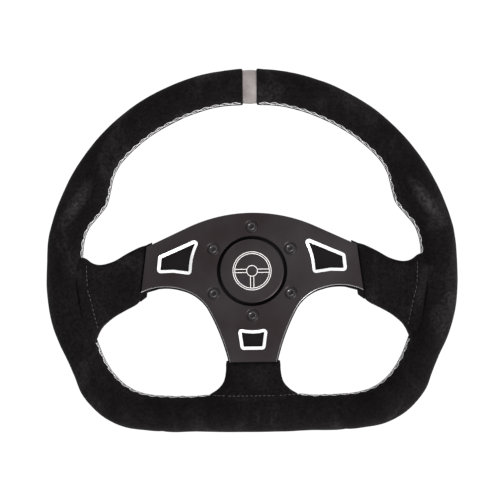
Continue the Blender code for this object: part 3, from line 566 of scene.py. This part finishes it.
def seam_lengths(steps):
    """How far along the seam each station is, from the band, clockwise."""
    lengths = [0.0]
    for k in range(1, steps + 1):
        here = Vector(rim_point(90 - 360 * k / steps, SEAM_TURN))
        last = Vector(rim_point(90 - 360 * (k - 1) / steps, SEAM_TURN))
        lengths.append(lengths[-1] + (here - last).length)
    return lengths


def make_rim():
    """One closed skin of suede from one side of the band round to the other, its ends folded in."""
    shape = Shape()
    turns = rim_turns()
    lengths = seam_lengths(RIM_STEPS)
    first = math.ceil(RIM_STEPS * 3.4 / 360)  # the first station clear of the band

    def folded_end(side):
        rings = []
        for k in range(FOLD_STEPS + 1):
            t = math.radians(90 * k / FOLD_STEPS)
            inset = SUEDE_THICKNESS * (1 - math.sin(t)) + 0.00012
            shift = side * (BAND_HALF + SUEDE_THICKNESS * (1 - math.cos(t)) + 0.0001)
            rings.append([rim_point(90, turn, inset, shift) for turn in turns])
        return rings

    rings = folded_end(1)
    for k in range(first, RIM_STEPS - first + 1):
        degrees = 90 - 360 * k / RIM_STEPS
        ring = [hand_wrapped(rim_point(degrees, turn), degrees, turn, lengths[k]) for turn in turns]
        rings.append(ring)
    rings += folded_end(-1)[::-1]
    for k in range(RIM_STEPS - first, first - 1, -8):
        degrees = 90 - 360 * k / RIM_STEPS
        rings.append([rim_point(degrees, turn, SUEDE_THICKNESS + 0.0002) for turn in turns])
    shape.skin([shape.ring(ring) for ring in rings], closed=True)
    rim = shape.make("suede_rim", [RIM_SUEDE], "black_suede", sharp=180.0)
    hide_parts("rim_wrap")
    return shape.surface()


def make_band():
    """The centre mark: a crowned strip of grey leather round the rim between the suede's ends."""
    shape = Shape()
    turns = [5.0 * k for k in range(72)]
    half = BAND_HALF + 0.0003
    stations = [-half, -0.0048, -0.0040, -0.0030, -0.0015, 0.0, 0.0015, 0.0030, 0.0040, 0.0048, half]
    rings = []
    for x in stations:
        crown = 0.00045 * (x / half) ** 2
        ring = []
        for turn in turns:
            crease = noise.noise(Vector((x * 300, turn * 0.05, 0.5))) * 0.00008
            ring.append(rim_point(90, turn, BAND_RECESS - 0.0003 + crown + crease, x))
        rings.append(ring)
    for x in reversed(stations):
        rings.append([rim_point(90, turn, BAND_RECESS + 0.0010, x) for turn in turns])
    shape.skin([shape.ring(ring) for ring in rings], closed=True)
    band = shape.make("leather_band", [BAND], "grey_band", sharp=60.0)
    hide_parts("top_band")


def lacing_point(degrees, arc_length, strand):
    """A strand of the lacing: it swings across the seam and passes over or under the other."""
    phase = math.pi * arc_length / STITCH_PITCH + strand * math.pi
    swing = STITCH_SWING * math.sin(phase)
    seat = rim_point(degrees, SEAM_TURN + swing / LENGTH_PER_TURN)
    over = 0.00022 * math.cos(phase)
    dip = 0.00030 * math.sin(phase) ** 4
    return tuple(Vector(seat) + rim_outward(seat, degrees) * (0.00012 + over - dip))


def make_lacing():
    """Two crossing threads along each laced stretch of the rim."""
    steps = RIM_STEPS * 4
    lengths = seam_lengths(steps)
    shape = Shape()
    for strand in (0, 1):
        route = []
        for k in range(1, steps):
            degrees = 90 - 360 * k / steps
            if is_laced(degrees):
                route.append(lacing_point(degrees, lengths[k], strand))
            elif route:
                tube(shape, route, THREAD_RADIUS, 8)
                route = []
        if route:
            tube(shape, route, THREAD_RADIUS, 8)
    shape.make("rim_lacing", [THREAD], "black_suede", sharp=180.0)


# ---------------- sleeves
SLEEVE_SIDES = 72
SLEEVE_STEPS = 110
UNDER_PLATE = 12  # the last of those steps that the plates hold flat
SLEEVE_SQUARENESS = 3.4
FLAT_ROWS = 3  # the first sections, between the plates, are joined by straight lines


def blended_row(rows, u):
    """The sleeve's section at a place along its rows, as one flat list of numbers."""
    k = min(int(u), len(rows) - 2)
    t = u - k
    before = rows[max(k - 1, 0)]
    after = rows[min(k + 2, len(rows) - 1)]
    if k < FLAT_ROWS:
        return [a + (b - a) * t for a, b in zip(rows[k], rows[k + 1])]
    return [cubic(p, a, b, n, t) for p, a, b, n in zip(before, rows[k], rows[k + 1], after)]


def sleeve_point(rows, u, turn):
    """A point on the soft flat oval between a section's two edges."""
    x0, y0, x1, y1, back, front = blended_row(rows, u)
    across = math.cos(math.radians(turn))
    along = math.sin(math.radians(turn))
    reach = 1 / oval(across, along, SLEEVE_SQUARENESS)
    t = 0.5 + 0.5 * across * reach
    h = 0.5 + 0.5 * along * reach
    return x0 + (x1 - x0) * t, y0 + (y1 - y0) * t, back + (front - back) * h


def landing(rows, turn):
    """Where along the sleeve its line at this turn meets the rim."""
    low, high = float(FLAT_ROWS), len(rows) - 1.0
    for _ in range(30):
        middle = (low + high) / 2
        if rim_depth(sleeve_point(rows, middle, turn)) > 1.0:
            low = middle
        else:
            high = middle
    return low


def seam_distance(point, seam):
    """How far a point is from a seam's line, as seen from the front."""
    here = Vector(point[:2])
    nearest = 1.0
    for one, other in zip(seam, seam[1:]):
        on_line, share = geometry.intersect_point_line(here, Vector(one), Vector(other))
        if 0.0 <= share <= 1.0:
            nearest = min(nearest, (here - on_line).length)
    return nearest


def make_sleeve(name, rows, node, seam):
    """A soft sleeve from under the plate to the rim, where its edge is turned in along the seam."""
    shape = Shape()
    turns = [360 * k / SLEEVE_SIDES for k in range(SLEEVE_SIDES)]
    ends = [landing(rows, turn) for turn in turns]
    grid = []
    for k in range(SLEEVE_STEPS + 1):
        share = k / SLEEVE_STEPS
        share += 0.35 * share * (1 - share) * (share - 0.5)  # closer together at both ends
        grid.append([list(sleeve_point(rows, end * share, turn)) for turn, end in zip(turns, ends)])
    for k, ring in enumerate(grid):
        for i, point in enumerate(ring):
            edge = Vector(grid[-1][i])
            off_seam = (Vector(point) - edge).length
            lumps = noise.noise(Vector(point) * 60) * 0.00020 + noise.noise(Vector(point) * 200) * 0.00006
            if k > UNDER_PLATE:
                point[2] += math.copysign(lumps, point[2] - RIM_HEIGHT)
            tuck = max(0.0, 1 - off_seam / 0.0012) ** 2 * 0.0002
            tuck += math.exp(-((seam_distance(point, seam) / 0.00055) ** 2)) * 0.00045
            off_middle = point[2] - RIM_HEIGHT
            point[2] -= math.copysign(min(tuck, abs(off_middle)), off_middle)
    deepest = len(rows) - 1.0  # the sleeve's end is hidden inside the rim
    grid.append([sleeve_point(rows, min(end + 0.12, deepest), turn) for turn, end in zip(turns, ends)])
    shape.skin([shape.ring([tuple(point) for point in ring]) for ring in grid])
    sleeve = shape.make(name, [SLEEVE_SUEDE], "black_suede", sharp=50.0)
    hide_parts(node)
    return shape.surface()


SEAM_PITCH = 0.0034
SEAM_STITCH = 0.0024
SEAM_THREAD_RADIUS = 0.00017


def surface_height(trees, x, y, side):
    """How high the suede is at a spot, or None off its edge: its front for side 1, its back for -1."""
    start = world((x, y, RIM_HEIGHT + side * 0.05))
    hits = [tree.ray_cast(start, Vector((0.0, side, 0.0)))[0] for tree in trees]
    heights = [side * -hit.y for hit in hits if hit is not None]
    return side * max(heights) if heights else None


def make_seam_stitches(trees, seams):
    """Small stitches along the edge of each sleeve, front and back."""
    shape = Shape()
    for seam in seams:
        for one, other in zip(seam, seam[1:]):
            start, end = Vector(one), Vector(other)
            along = (end - start).normalized()
            for k in range(int((end - start).length / SEAM_PITCH)):
                for side in (1, -1):
                    route = []
                    for j in range(7):
                        spot = start + along * (SEAM_PITCH * k + SEAM_STITCH * j / 6)
                        height = surface_height(trees, spot.x, spot.y, side)
                        dip = 0.0004 * abs(j / 3 - 1) ** 4
                        if height is not None:
                            route.append((spot.x, spot.y, height + side * (0.00008 - dip)))
                    if len(route) == 7:
                        tube(shape, route, SEAM_THREAD_RADIUS, 6)
    shape.make("seam_stitches", [SEAM_THREAD], "black_suede", sharp=180.0)


def make_sleeves(rim_tree):
    right = [(*top, *bottom, back, front) for top, bottom, back, front in SIDE_SLEEVE]
    left = [(-x0, y0, -x1, y1, back, front) for x0, y0, x1, y1, back, front in right]
    bottom = [(-half, down, half, down, back, front) for half, down, back, front in BOTTOM_SLEEVE]
    seam = [(0.1298, 0.0090), (0.1298, 0.0056), (0.1288, -0.0135), (0.1257, -0.0247), (0.1212, -0.0460)]
    left_seam = [(-x, y) for x, y in seam]
    bottom_seam = [(-0.0350, -0.0970), (-0.0200, -0.0979), (0.0200, -0.0979), (0.0350, -0.0970)]
    trees = [
        rim_tree,
        make_sleeve("suede_sleeve_right", right, "sleeve_right", seam),
        make_sleeve("suede_sleeve_left", left, "sleeve_left", left_seam),
        make_sleeve("suede_sleeve_bottom", bottom, "sleeve_bottom", bottom_seam),
    ]
    make_seam_stitches(trees, [seam[1:], left_seam[1:], bottom_seam])


# ---------------- plates
def arc(centre_x, centre_y, radius, start, end, count):
    points = []
    for i in range(count):
        x, y = polar(radius, start + (end - start) * i / (count - 1))
        points.append((centre_x + x, centre_y + y))
    return points


def mirrored(outline):
    """The same outline on the left, still counter-clockwise."""
    return [(-x, y) for x, y in reversed(outline)]


def inset(outline, distances):
    """A closed counter-clockwise outline with each point moved inwards by its own distance."""
    moved = []
    count = len(outline)
    for i, (x, y) in enumerate(outline):
        before_x, before_y = outline[i - 1]
        after_x, after_y = outline[(i + 1) % count]
        ax, ay = x - before_x, y - before_y
        bx, by = after_x - x, after_y - y
        a, b = math.hypot(ax, ay), math.hypot(bx, by)
        nx, ny = -ay / a - by / b, ax / a + bx / b
        scale = 2.0 / (nx * nx + ny * ny) * distances[i]
        moved.append((x + nx * scale, y + ny * scale))
    return moved


def rounded(corners, radius, count):
    """A closed outline whose sharp corners are rounded with short arcs."""
    outline = []
    total = len(corners)
    for i, (x, y) in enumerate(corners):
        before = Vector(corners[i - 1])
        after = Vector(corners[(i + 1) % total])
        here = Vector((x, y))
        to_before, to_after = (before - here).normalized(), (after - here).normalized()
        half = to_before.angle(to_after) / 2
        if half > math.radians(80):
            outline.append((x, y))
            continue
        reach = min(radius / math.tan(half), 0.45 * (before - here).length, 0.45 * (after - here).length)
        start, end = here + to_before * reach, here + to_after * reach
        for k in range(count):
            t = k / (count - 1)
            outline.append(tuple(start * (1 - t) ** 2 + here * 2 * t * (1 - t) + end * t**2))
    return outline


def plate_outline(step=0.0, arch_end=ARCH_END):
    """The plates' outline, its lower cut-outs larger by a step, and which points are on those."""
    top = arc(0.0, -0.0742, 0.1201, 65.3, 90, 30)
    arch = arc(0.0688, -0.0546, 0.0416 + step, 105, arch_end, 24)
    throat = arc(0.0640, -0.0473, 0.0333 + step, 152, 108, 28)
    lower_throat = arc(0.1781, -0.1081, 0.1626 + step, 167.2, 152, 14)[1:-1]
    edge = [(0.0196 - step, -0.0720), *lower_throat, *throat, *arch]
    right = [*edge, (0.0830, 0.0198), *top]
    cut_out = [True] * len(edge) + [False] * (1 + len(top))
    outline = right[:-1] + mirrored(right)
    return outline, cut_out[:-1] + cut_out[::-1]


def side_opening():
    """The right-hand window's opening, at the foot of its chamfer."""
    inner_side = arc(0.0, 0.0, 0.0499, 23, 3, 9)
    corners = [(0.04455, 0.02249), *inner_side, (0.0501, 0.0001), (0.0619, 0.0018)]
    corners += [(0.0723, 0.0015), (0.0713, 0.0110)]
    return rounded(corners, 0.0005, 8)


def bottom_opening():
    corners = [(-0.0090, -0.0482), (-0.0074, -0.0596), (0.0074, -0.0596), (0.0090, -0.0482)]
    corners += [(0.0045, -0.0490), (0.0, -0.0493), (-0.0045, -0.0490)]
    return rounded(corners, 0.0005, 8)


def is_inside(x, y, outline):
    """Whether a point lies inside a closed outline."""
    inside = False
    for (ax, ay), (bx, by) in zip(outline, outline[1:] + outline[:1]):
        if (ay > y) != (by > y) and x < ax + (y - ay) / (by - ay) * (bx - ax):
            inside = not inside
    return inside


class Plate(Shape):
    """A flat plate: walls down its outline and its holes, and flat faces between them."""

    def __init__(self):
        super().__init__()
        self.fronts = []
        self.backs = []

    def contour(self, levels, tags):
        """A wall down through (outline, height) levels, with a tag for each step."""
        rings = [self.ring([(x, y, height) for x, y in outline]) for outline, height in levels]
        for one, other, tag in zip(rings, rings[1:], tags):
            self.strip(one, other, tag)
        self.fronts.append(rings[0])
        self.backs.append(rings[-1])

    def fill(self, rings, tag):
        """Flat triangles between an outer ring and the holes in it, all at one height."""
        numbers = [i for ring in rings for i in ring]
        corners = [Vector(self.points[i][:2]) for i in numbers]
        outlines, edges = [], []
        first = 0
        for ring in rings:
            count = len(ring)
            edges += [(first + i, first + (i + 1) % count) for i in range(count)]
            outlines.append([tuple(corner) for corner in corners[first : first + count]])
            first += count
        found, _, triangles, sources, _, _ = geometry.delaunay_2d_cdt(corners, edges, [], 0, 1e-7)
        for triangle in triangles:
            x = sum(found[i].x for i in triangle) / 3
            y = sum(found[i].y for i in triangle) / 3
            if is_inside(x, y, outlines[0]) and not any(is_inside(x, y, hole) for hole in outlines[1:]):
                self.faces.append(tuple(numbers[sources[i][0]] for i in triangle))
                self.tags.append(tag)


def make_front_plate():
    """The anodised plate with its bare machined window chamfers, and a painted reflection on the eased edge
    of its lower cut-outs.
    """
    anodised, chamfer, side, painted_edge_reflection = range(4)
    front, back = FRONT_PLATE_FRONT, FRONT_PLATE_BACK
    shape = Plate()
    outline, cut_out = plate_outline(CUT_OUT_STEP, FRONT_ARCH_END)
    count = len(outline)
    widths = [0.0005 if cut else 0.0003 for cut in cut_out]
    # painted reflection: the eased edge is paler metal only along the lower cut-outs, where light catches
    # it, and anodised elsewhere
    edge = [painted_edge_reflection if cut_out[i] and cut_out[(i + 1) % count] else anodised for i in range(count)]
    # the straight edge between the two feet keeps the anodised edge, without the painted reflection
    foot = [i for i in range(count) if abs(outline[i][0]) < 0.02 and outline[i][1] < -0.07]
    edge[foot[-1]] = anodised
    eased = inset(outline, widths)
    shape.contour([(eased, front), (outline, front - 0.0005), (outline, back)], [edge, side])
    for opening in (side_opening(), mirrored(side_opening()), bottom_opening()):
        window = inset(opening, [-WINDOW_CHAMFER] * len(opening))
        levels = [(window, front), (opening, front - WINDOW_CHAMFER), (opening, back)]
        shape.contour(levels, [chamfer, side])
    bore = circle(0.0, 0.0, PLATE_BORE_RADIUS, 120)
    bore_mouth = circle(0.0, 0.0, PLATE_BORE_RADIUS + 0.0002, 120)
    shape.contour([(bore_mouth, front), (bore, front - 0.0002), (bore, back)], [anodised] * 2)
    sink = COUNTERSINK_RADIUS - HUB_SCREW_HOLE
    for degrees in SCREW_ANGLES:
        x, y = polar(SCREW_CIRCLE, degrees)
        levels = [
            (circle(x, y, COUNTERSINK_RADIUS + 0.0001, 40), front),
            (circle(x, y, COUNTERSINK_RADIUS - 0.0001, 40), front - 0.0001),
            (circle(x, y, HUB_SCREW_HOLE, 40), front - sink),
            (circle(x, y, HUB_SCREW_HOLE, 40), back),
        ]
        shape.contour(levels, [anodised] * 3)
    shape.fill(shape.fronts, anodised)
    shape.fill(shape.backs, anodised)
    materials = [ANODISED, CHAMFER, SIDE_BLACK, PAINTED_EDGE_REFLECTION]
    plate = shape.make("machined_plate", materials, "black_anodised", sharp=25.0)
    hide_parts("front_plate")


def make_rear_plate():
    """The plate that clamps the sleeves from behind, matt black on its walls and its front."""
    anodised, side = range(2)
    front, back = REAR_PLATE_FRONT, REAR_PLATE_BACK
    shape = Plate()
    outline, _ = plate_outline()
    eased = inset(outline, [0.0003] * len(outline))
    shape.contour([(outline, front), (outline, back + 0.0003), (eased, back)], [side] * 2)
    bore = circle(0.0, 0.0, 0.0233, 96)
    shape.contour([(bore, front), (bore, back)], [anodised])
    for degrees in SCREW_ANGLES:
        hole = circle(*polar(SCREW_CIRCLE, degrees), HUB_SCREW_HOLE, 32)
        shape.contour([(hole, front), (hole, back)], [anodised])
    for x, y in PLATE_SCREWS.values():
        hole = circle(x, y, 0.0018, 32)
        levels = [(hole, front), (hole, back + 0.0016), (circle(x, y, 0.0034, 32), back)]
        shape.contour(levels, [anodised] * 2)
    shape.fill(shape.fronts, side)
    shape.fill(shape.backs, anodised)
    plate = shape.make("machined_rear_plate", [ANODISED, SIDE_BLACK], "black_anodised", sharp=25.0)
    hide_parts("rear_plate")


def make_cap():
    """The round cap: an eased disc on a skirt that is grooved for its O-ring."""
    shape = Shape()
    flat = CAP_RADIUS - 0.0011
    profile = [(0.0005, CAP_TOP), (flat, CAP_TOP)]
    for k in range(1, 6):
        t = math.radians(90 * k / 6)
        profile.append((flat + 0.0011 * math.sin(t), CAP_TOP - 0.0009 * (1 - math.cos(t))))
    profile += [
        (CAP_RADIUS, CAP_TOP - 0.0009),
        (CAP_RADIUS, 0.0161),
        (CAP_RADIUS - 0.0002, 0.0159),
        (0.0230, 0.0159),
        (0.0230, 0.0137),
        (0.0215, 0.0137),
        (0.0215, 0.0119),
        (0.0230, 0.0119),
        (0.0230, 0.0088),
        (0.0228, 0.0086),
        (0.0202, 0.0086),
        (0.0200, 0.0088),
        (0.0200, 0.0159),
        (0.0005, 0.0159),
    ]
    shape.lathe(profile, 120, closed=False)
    cap = shape.make("anodised_cap", [ANODISED], "black_anodised", sharp=35.0)
    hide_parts("centre_cap")


def make_emblem():
    """A plain generic mark printed on the cap: a double ring round a three-spoked wheel."""
    shape = Shape()
    low, high = CAP_TOP + 0.00001, CAP_TOP + 0.00006
    line = 0.00022

    def band(radius, steps):
        rings = []
        for k in range(steps):
            degrees = 360 * k / steps
            inner, outer = polar(radius - line, degrees), polar(radius + line, degrees)
            rings.append(shape.ring([(*inner, low), (*outer, low), (*outer, high), (*inner, high)]))
        shape.skin(rings, closed=True)

    def bar(start, end):
        along = (Vector(end) - Vector(start)).normalized()
        side = Vector((-along.y, along.x)) * line
        rings = []
        for spot in (start, end):
            one, other = Vector(spot) - side, Vector(spot) + side
            rings.append(shape.ring([(*one, low), (*other, low), (*other, high), (*one, high)]))
        shape.skin(rings)

    outer_ring, inner_ring, hub_ring = 0.0150, 0.0136, 0.0042
    band(outer_ring, 96)
    band(inner_ring, 96)
    band(hub_ring, 48)
    for degrees in (0, 180, 270):
        ux, uy = polar(1.0, degrees)
        for offset in (-0.0013, 0.0013):
            side = Vector((-uy, ux)) * offset
            near = math.sqrt(hub_ring**2 - offset**2) + 0.0003
            far = math.sqrt(inner_ring**2 - offset**2) - 0.0003
            bar((ux * near + side.x, uy * near + side.y), (ux * far + side.x, uy * far + side.y))
    shape.make("cap_emblem", [EMBLEM], "black_anodised", sharp=30.0)


def hexagon_ring(centre, across_flats, height, steps):
    ring = []
    for k in range(steps):
        degrees = 360 * k / steps
        reach = across_flats / 2 / math.cos(math.radians((degrees + 30) % 60 - 30))
        x, y = polar(reach, degrees)
        ring.append((centre[0] + x, centre[1] + y, height))
    return ring


def make_screw(name, node, centre, face, flip, head_radius, shank_radius, length, across_flats, depth):
    """A countersunk socket screw. flip is -1 for one whose head faces back."""
    shape = Shape()
    steps = 48

    def turned(radius, below):
        return shape.ring([(x, y, face - flip * below) for x, y in circle(*centre, radius, steps)])

    mouth = across_flats / math.sqrt(3) + 0.0006
    dished = 0.0003
    rings = [
        turned(shank_radius * 0.5, length),
        turned(shank_radius - 0.0004, length),
        turned(shank_radius, length - 0.0004),
        turned(shank_radius, head_radius - shank_radius + 0.0002),
        turned(head_radius - 0.0001, 0.0003),
        turned(head_radius, 0.0001),
        turned(head_radius - 0.00015, 0.0),
        turned(mouth, 0.0),
    ]
    at_mouth = len(rings) - 1
    for below in (dished, depth - 0.0001):
        rings.append(shape.ring(hexagon_ring(centre, across_flats, face - flip * below, steps)))
    rings.append(turned(across_flats * 0.2, depth + 0.0003))
    for i, (one, other) in enumerate(zip(rings, rings[1:])):
        shape.strip(one, other, 1 if i == at_mouth else 0)
    shape.cap(rings[0])
    shape.cap(rings[-1])
    screw = shape.make(name, [SCREW_BLACK, SOCKET_EDGE], "black_steel", sharp=35.0)
    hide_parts(node)


def make_screws():
    hub_face = FRONT_PLATE_FRONT - 0.0003
    for k, degrees in enumerate(SCREW_ANGLES, 1):
        centre = polar(SCREW_CIRCLE, degrees)
        make_screw(f"socket_screw_{k}", f"hub_screw_{k}", centre, hub_face, 1, *HUB_SCREW)
    back_face = REAR_PLATE_BACK + 0.0001
    for side, centre in PLATE_SCREWS.items():
        make_screw(f"back_screw_{side}", f"plate_screw_{side}", centre, back_face, -1, *PLATE_SCREW)


# ---------------- quick release
def make_collar():
    """The sliding collar, with a diamond knurl on its three grip bands."""
    shape = Shape()
    profile = [
        (0.0276, COLLAR_FRONT - 0.0002),
        (0.0278, COLLAR_FRONT),
        (COLLAR_RADIUS - 0.0012, COLLAR_FRONT),
        (COLLAR_RADIUS - 0.0003, COLLAR_FRONT - 0.0005),
        (COLLAR_RADIUS - 0.0002, COLLAR_FRONT - 0.0014),
    ]
    lands = [(0.0016, 0.0054), (0.0092, 0.0164), (0.0202, 0.0248)]
    knurled = set()
    for top, bottom in lands:
        if knurled:
            above_land = COLLAR_FRONT - top
            groove = [(0.0291, 0.0030), (0.0289, 0.0024), (0.0289, 0.0012), (0.0291, 0.0006)]
            profile += [(radius, above_land + rise) for radius, rise in groove]
        steps = round((bottom - top) / 0.0004)
        knurled.update(range(len(profile) + 1, len(profile) + steps))
        rows = [top + (bottom - top) * k / steps for k in range(steps + 1)]
        profile += [(COLLAR_RADIUS, COLLAR_FRONT - row) for row in rows]
    profile += [
        (0.0296, COLLAR_BACK + 0.0008),
        (0.0288, COLLAR_BACK),
        (0.0275, COLLAR_BACK),
        (0.0273, COLLAR_BACK + 0.0002),
        (0.0273, -0.03205),
        (0.0249, -0.03205),
        (0.0249, -0.0292),
        (0.0216, -0.0168),
        (0.0213, -0.0162),
        (0.0213, -0.0142),
        (0.0215, -0.0140),
        (0.0270, -0.0140),
        (0.0272, -0.0138),
        (0.0272, COLLAR_FRONT - 0.0004),
    ]

    def knurl(k, radius, height, degrees):
        if k not in knurled:
            return radius
        turns = degrees / 360 * 90
        climb = (height - COLLAR_FRONT) / 0.0021
        one = abs((turns + climb) % 1 - 0.5) * 2
        other = abs((turns - climb) % 1 - 0.5) * 2
        return radius - 0.00032 * max(one, other) ** 3

    shape.lathe(profile, 540, closed=True, radius_at=knurl)
    collar = shape.make("knurled_collar", [COLLAR_METAL], "hub_metal", body="lock_collar", sharp=38.0)
    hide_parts("lock_collar")


def make_balls():
    for k in range(1, 7):
        shape = Shape()
        centre = polar(BALL_CIRCLE, 60 * (k - 1))
        rings = []
        for row in range(1, 24):
            latitude = math.radians(-90 + 180 * row / 24)
            radius, height = BALL_RADIUS * math.cos(latitude), BALL_RADIUS * math.sin(latitude)
            spots = circle(*centre, radius, 40)
            rings.append(shape.ring([(x, y, BALL_HEIGHT + height) for x, y in spots]))
        shape.skin(rings)
        name = f"bearing_ball_{k}"
        ball = shape.make(name, [BARE_STEEL], "bare_steel", body=f"ball_{k}", sharp=180.0)
        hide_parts(f"lock_ball_{k}")


def make_spring():
    """The collar's return spring, as one fixed coil of wire."""
    shape = Shape()
    wire = 0.0009
    coils, coil_radius = 3.25, 0.0240
    front, back = 0.0007 - wire, -0.0137 + wire
    steps = int(coils * 60)
    route = []
    for i in range(steps + 1):
        t = i / steps
        x, y = polar(coil_radius, 360 * coils * t)
        route.append((x, y, front + (back - front) * t))
    tube(shape, route, wire, 12)
    spring = shape.make("return_spring", [BARE_STEEL], "bare_steel", sharp=180.0)
    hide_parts("collar_spring")
    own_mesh(spring)


def make_retainer():
    """The open retaining ring behind the collar."""
    shape = Shape()
    inner, outer, front, back = 0.0203, 0.0234, -0.03495, -0.03605
    edge = 0.0002
    gap_half = math.degrees(math.asin(0.003 / 0.0218))
    rings = []
    steps = 120
    for k in range(steps + 1):
        degrees = -90 + gap_half + (360 - 2 * gap_half) * k / steps
        section = [
            (inner, front - edge),
            (inner + edge, front),
            (outer - edge, front),
            (outer, front - edge),
            (outer, back + edge),
            (outer - edge, back),
            (inner + edge, back),
            (inner, back + edge),
        ]
        rings.append(shape.ring([(*polar(radius, degrees), height) for radius, height in section]))
    shape.skin(rings)
    ring = shape.make("spring_steel_ring", [BARE_STEEL], "bare_steel", sharp=30.0)
    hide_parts("retaining_ring")


def finish_carried_nodes():
    """Materials for the parts that are seen as the CAD model has them."""
    for name, material in (
        ("hub_body", HUB_METAL),
        ("collar_end_ring", BARE_STEEL),
        ("spoke_frame", FRAME_BLACK),
        ("rim_core", CORE_METAL),
        ("rim_foam", FOAM),
        ("cap_o_ring", RUBBER),
    ):
        node = frame["nodes"][name]
        node.data.materials.clear()
        node.data.materials.append(material)


# ---------------- studio
def make_floor():
    material, tree, shader = new_material("studio_floor", 0.9, 0.0, 0.1)
    cloudy_colour(tree, shader, 3.0, 2.0, (0.9154, 0.9154, 0.9154), (0.92, 0.92, 0.92), (0.3, 0.7))
    mesh = bpy.data.meshes.new("studio_floor")
    reach, level = 2.0, -1.0
    corners = [(reach * x, reach * y, level) for x, y in ((-1, -1), (1, -1), (1, 1), (-1, 1))]
    mesh.from_pydata(corners, [], [(0, 1, 2, 3)])
    mesh.materials.append(material)
    floor = bpy.data.objects.new("studio_floor", mesh)
    bpy.context.scene.collection.objects.link(floor)


def area_light(name, place, size, power):
    """A square lamp that faces the wheel."""
    light = bpy.data.lights.new(name, "AREA")
    light.shape = "RECTANGLE"
    light.size = light.size_y = size
    light.energy = power
    lamp = bpy.data.objects.new(name, light)
    lamp.location = place
    lamp.rotation_euler = (-Vector(place)).to_track_quat("-Z", "Y").to_euler()
    bpy.context.scene.collection.objects.link(lamp)


def make_studio():
    scene = bpy.context.scene
    scene.view_settings.view_transform = "Standard"
    surroundings = bpy.data.worlds.new("studio")
    surroundings.use_nodes = True
    background = surroundings.node_tree.nodes["Background"]
    background.inputs["Color"].default_value = (1.0, 1.0, 1.0, 1.0)
    background.inputs["Strength"].default_value = 1.05
    scene.world = surroundings
    make_floor()
    area_light("key", (0.95, -1.3, -0.80), 0.6, 32.0)
    area_light("edge", (0.75, -0.25, -0.85), 0.5, 9.0)
    area_light("top_fill", (-0.7, -1.3, 1.4), 1.0, 14.0)


def make_camera():
    """A little below the wheel's middle and tipped up less than that, its lens raised for the rest."""
    camera_data = bpy.data.cameras.new("camera")
    camera_data.sensor_width = 36.0
    camera_data.angle = math.radians(24.8)
    camera = bpy.data.objects.new("camera", camera_data)
    distance, below = 0.90, 0.055
    aim_x, aim_z = -0.0019, 0.0168
    tipped = math.radians(1.0)
    camera.location = (aim_x, -RIM_HEIGHT - distance, aim_z - below)
    left_over = math.tan(math.atan(below / distance) - tipped)
    camera_data.shift_y = left_over / (2 * math.tan(camera_data.angle / 2))
    upright = Matrix.Rotation(math.radians(90) + tipped, 3, "X")
    camera.rotation_euler = (upright @ Matrix.Rotation(math.radians(-0.75), 3, "Z")).to_euler()
    bpy.context.scene.collection.objects.link(camera)
    bpy.context.scene.camera = camera


rim_tree = make_rim()
make_band()
make_lacing()
make_sleeves(rim_tree)
make_front_plate()
make_rear_plate()
make_cap()
make_emblem()
make_screws()
make_collar()
make_balls()
make_spring()
make_retainer()
finish_carried_nodes()
make_studio()
make_camera()
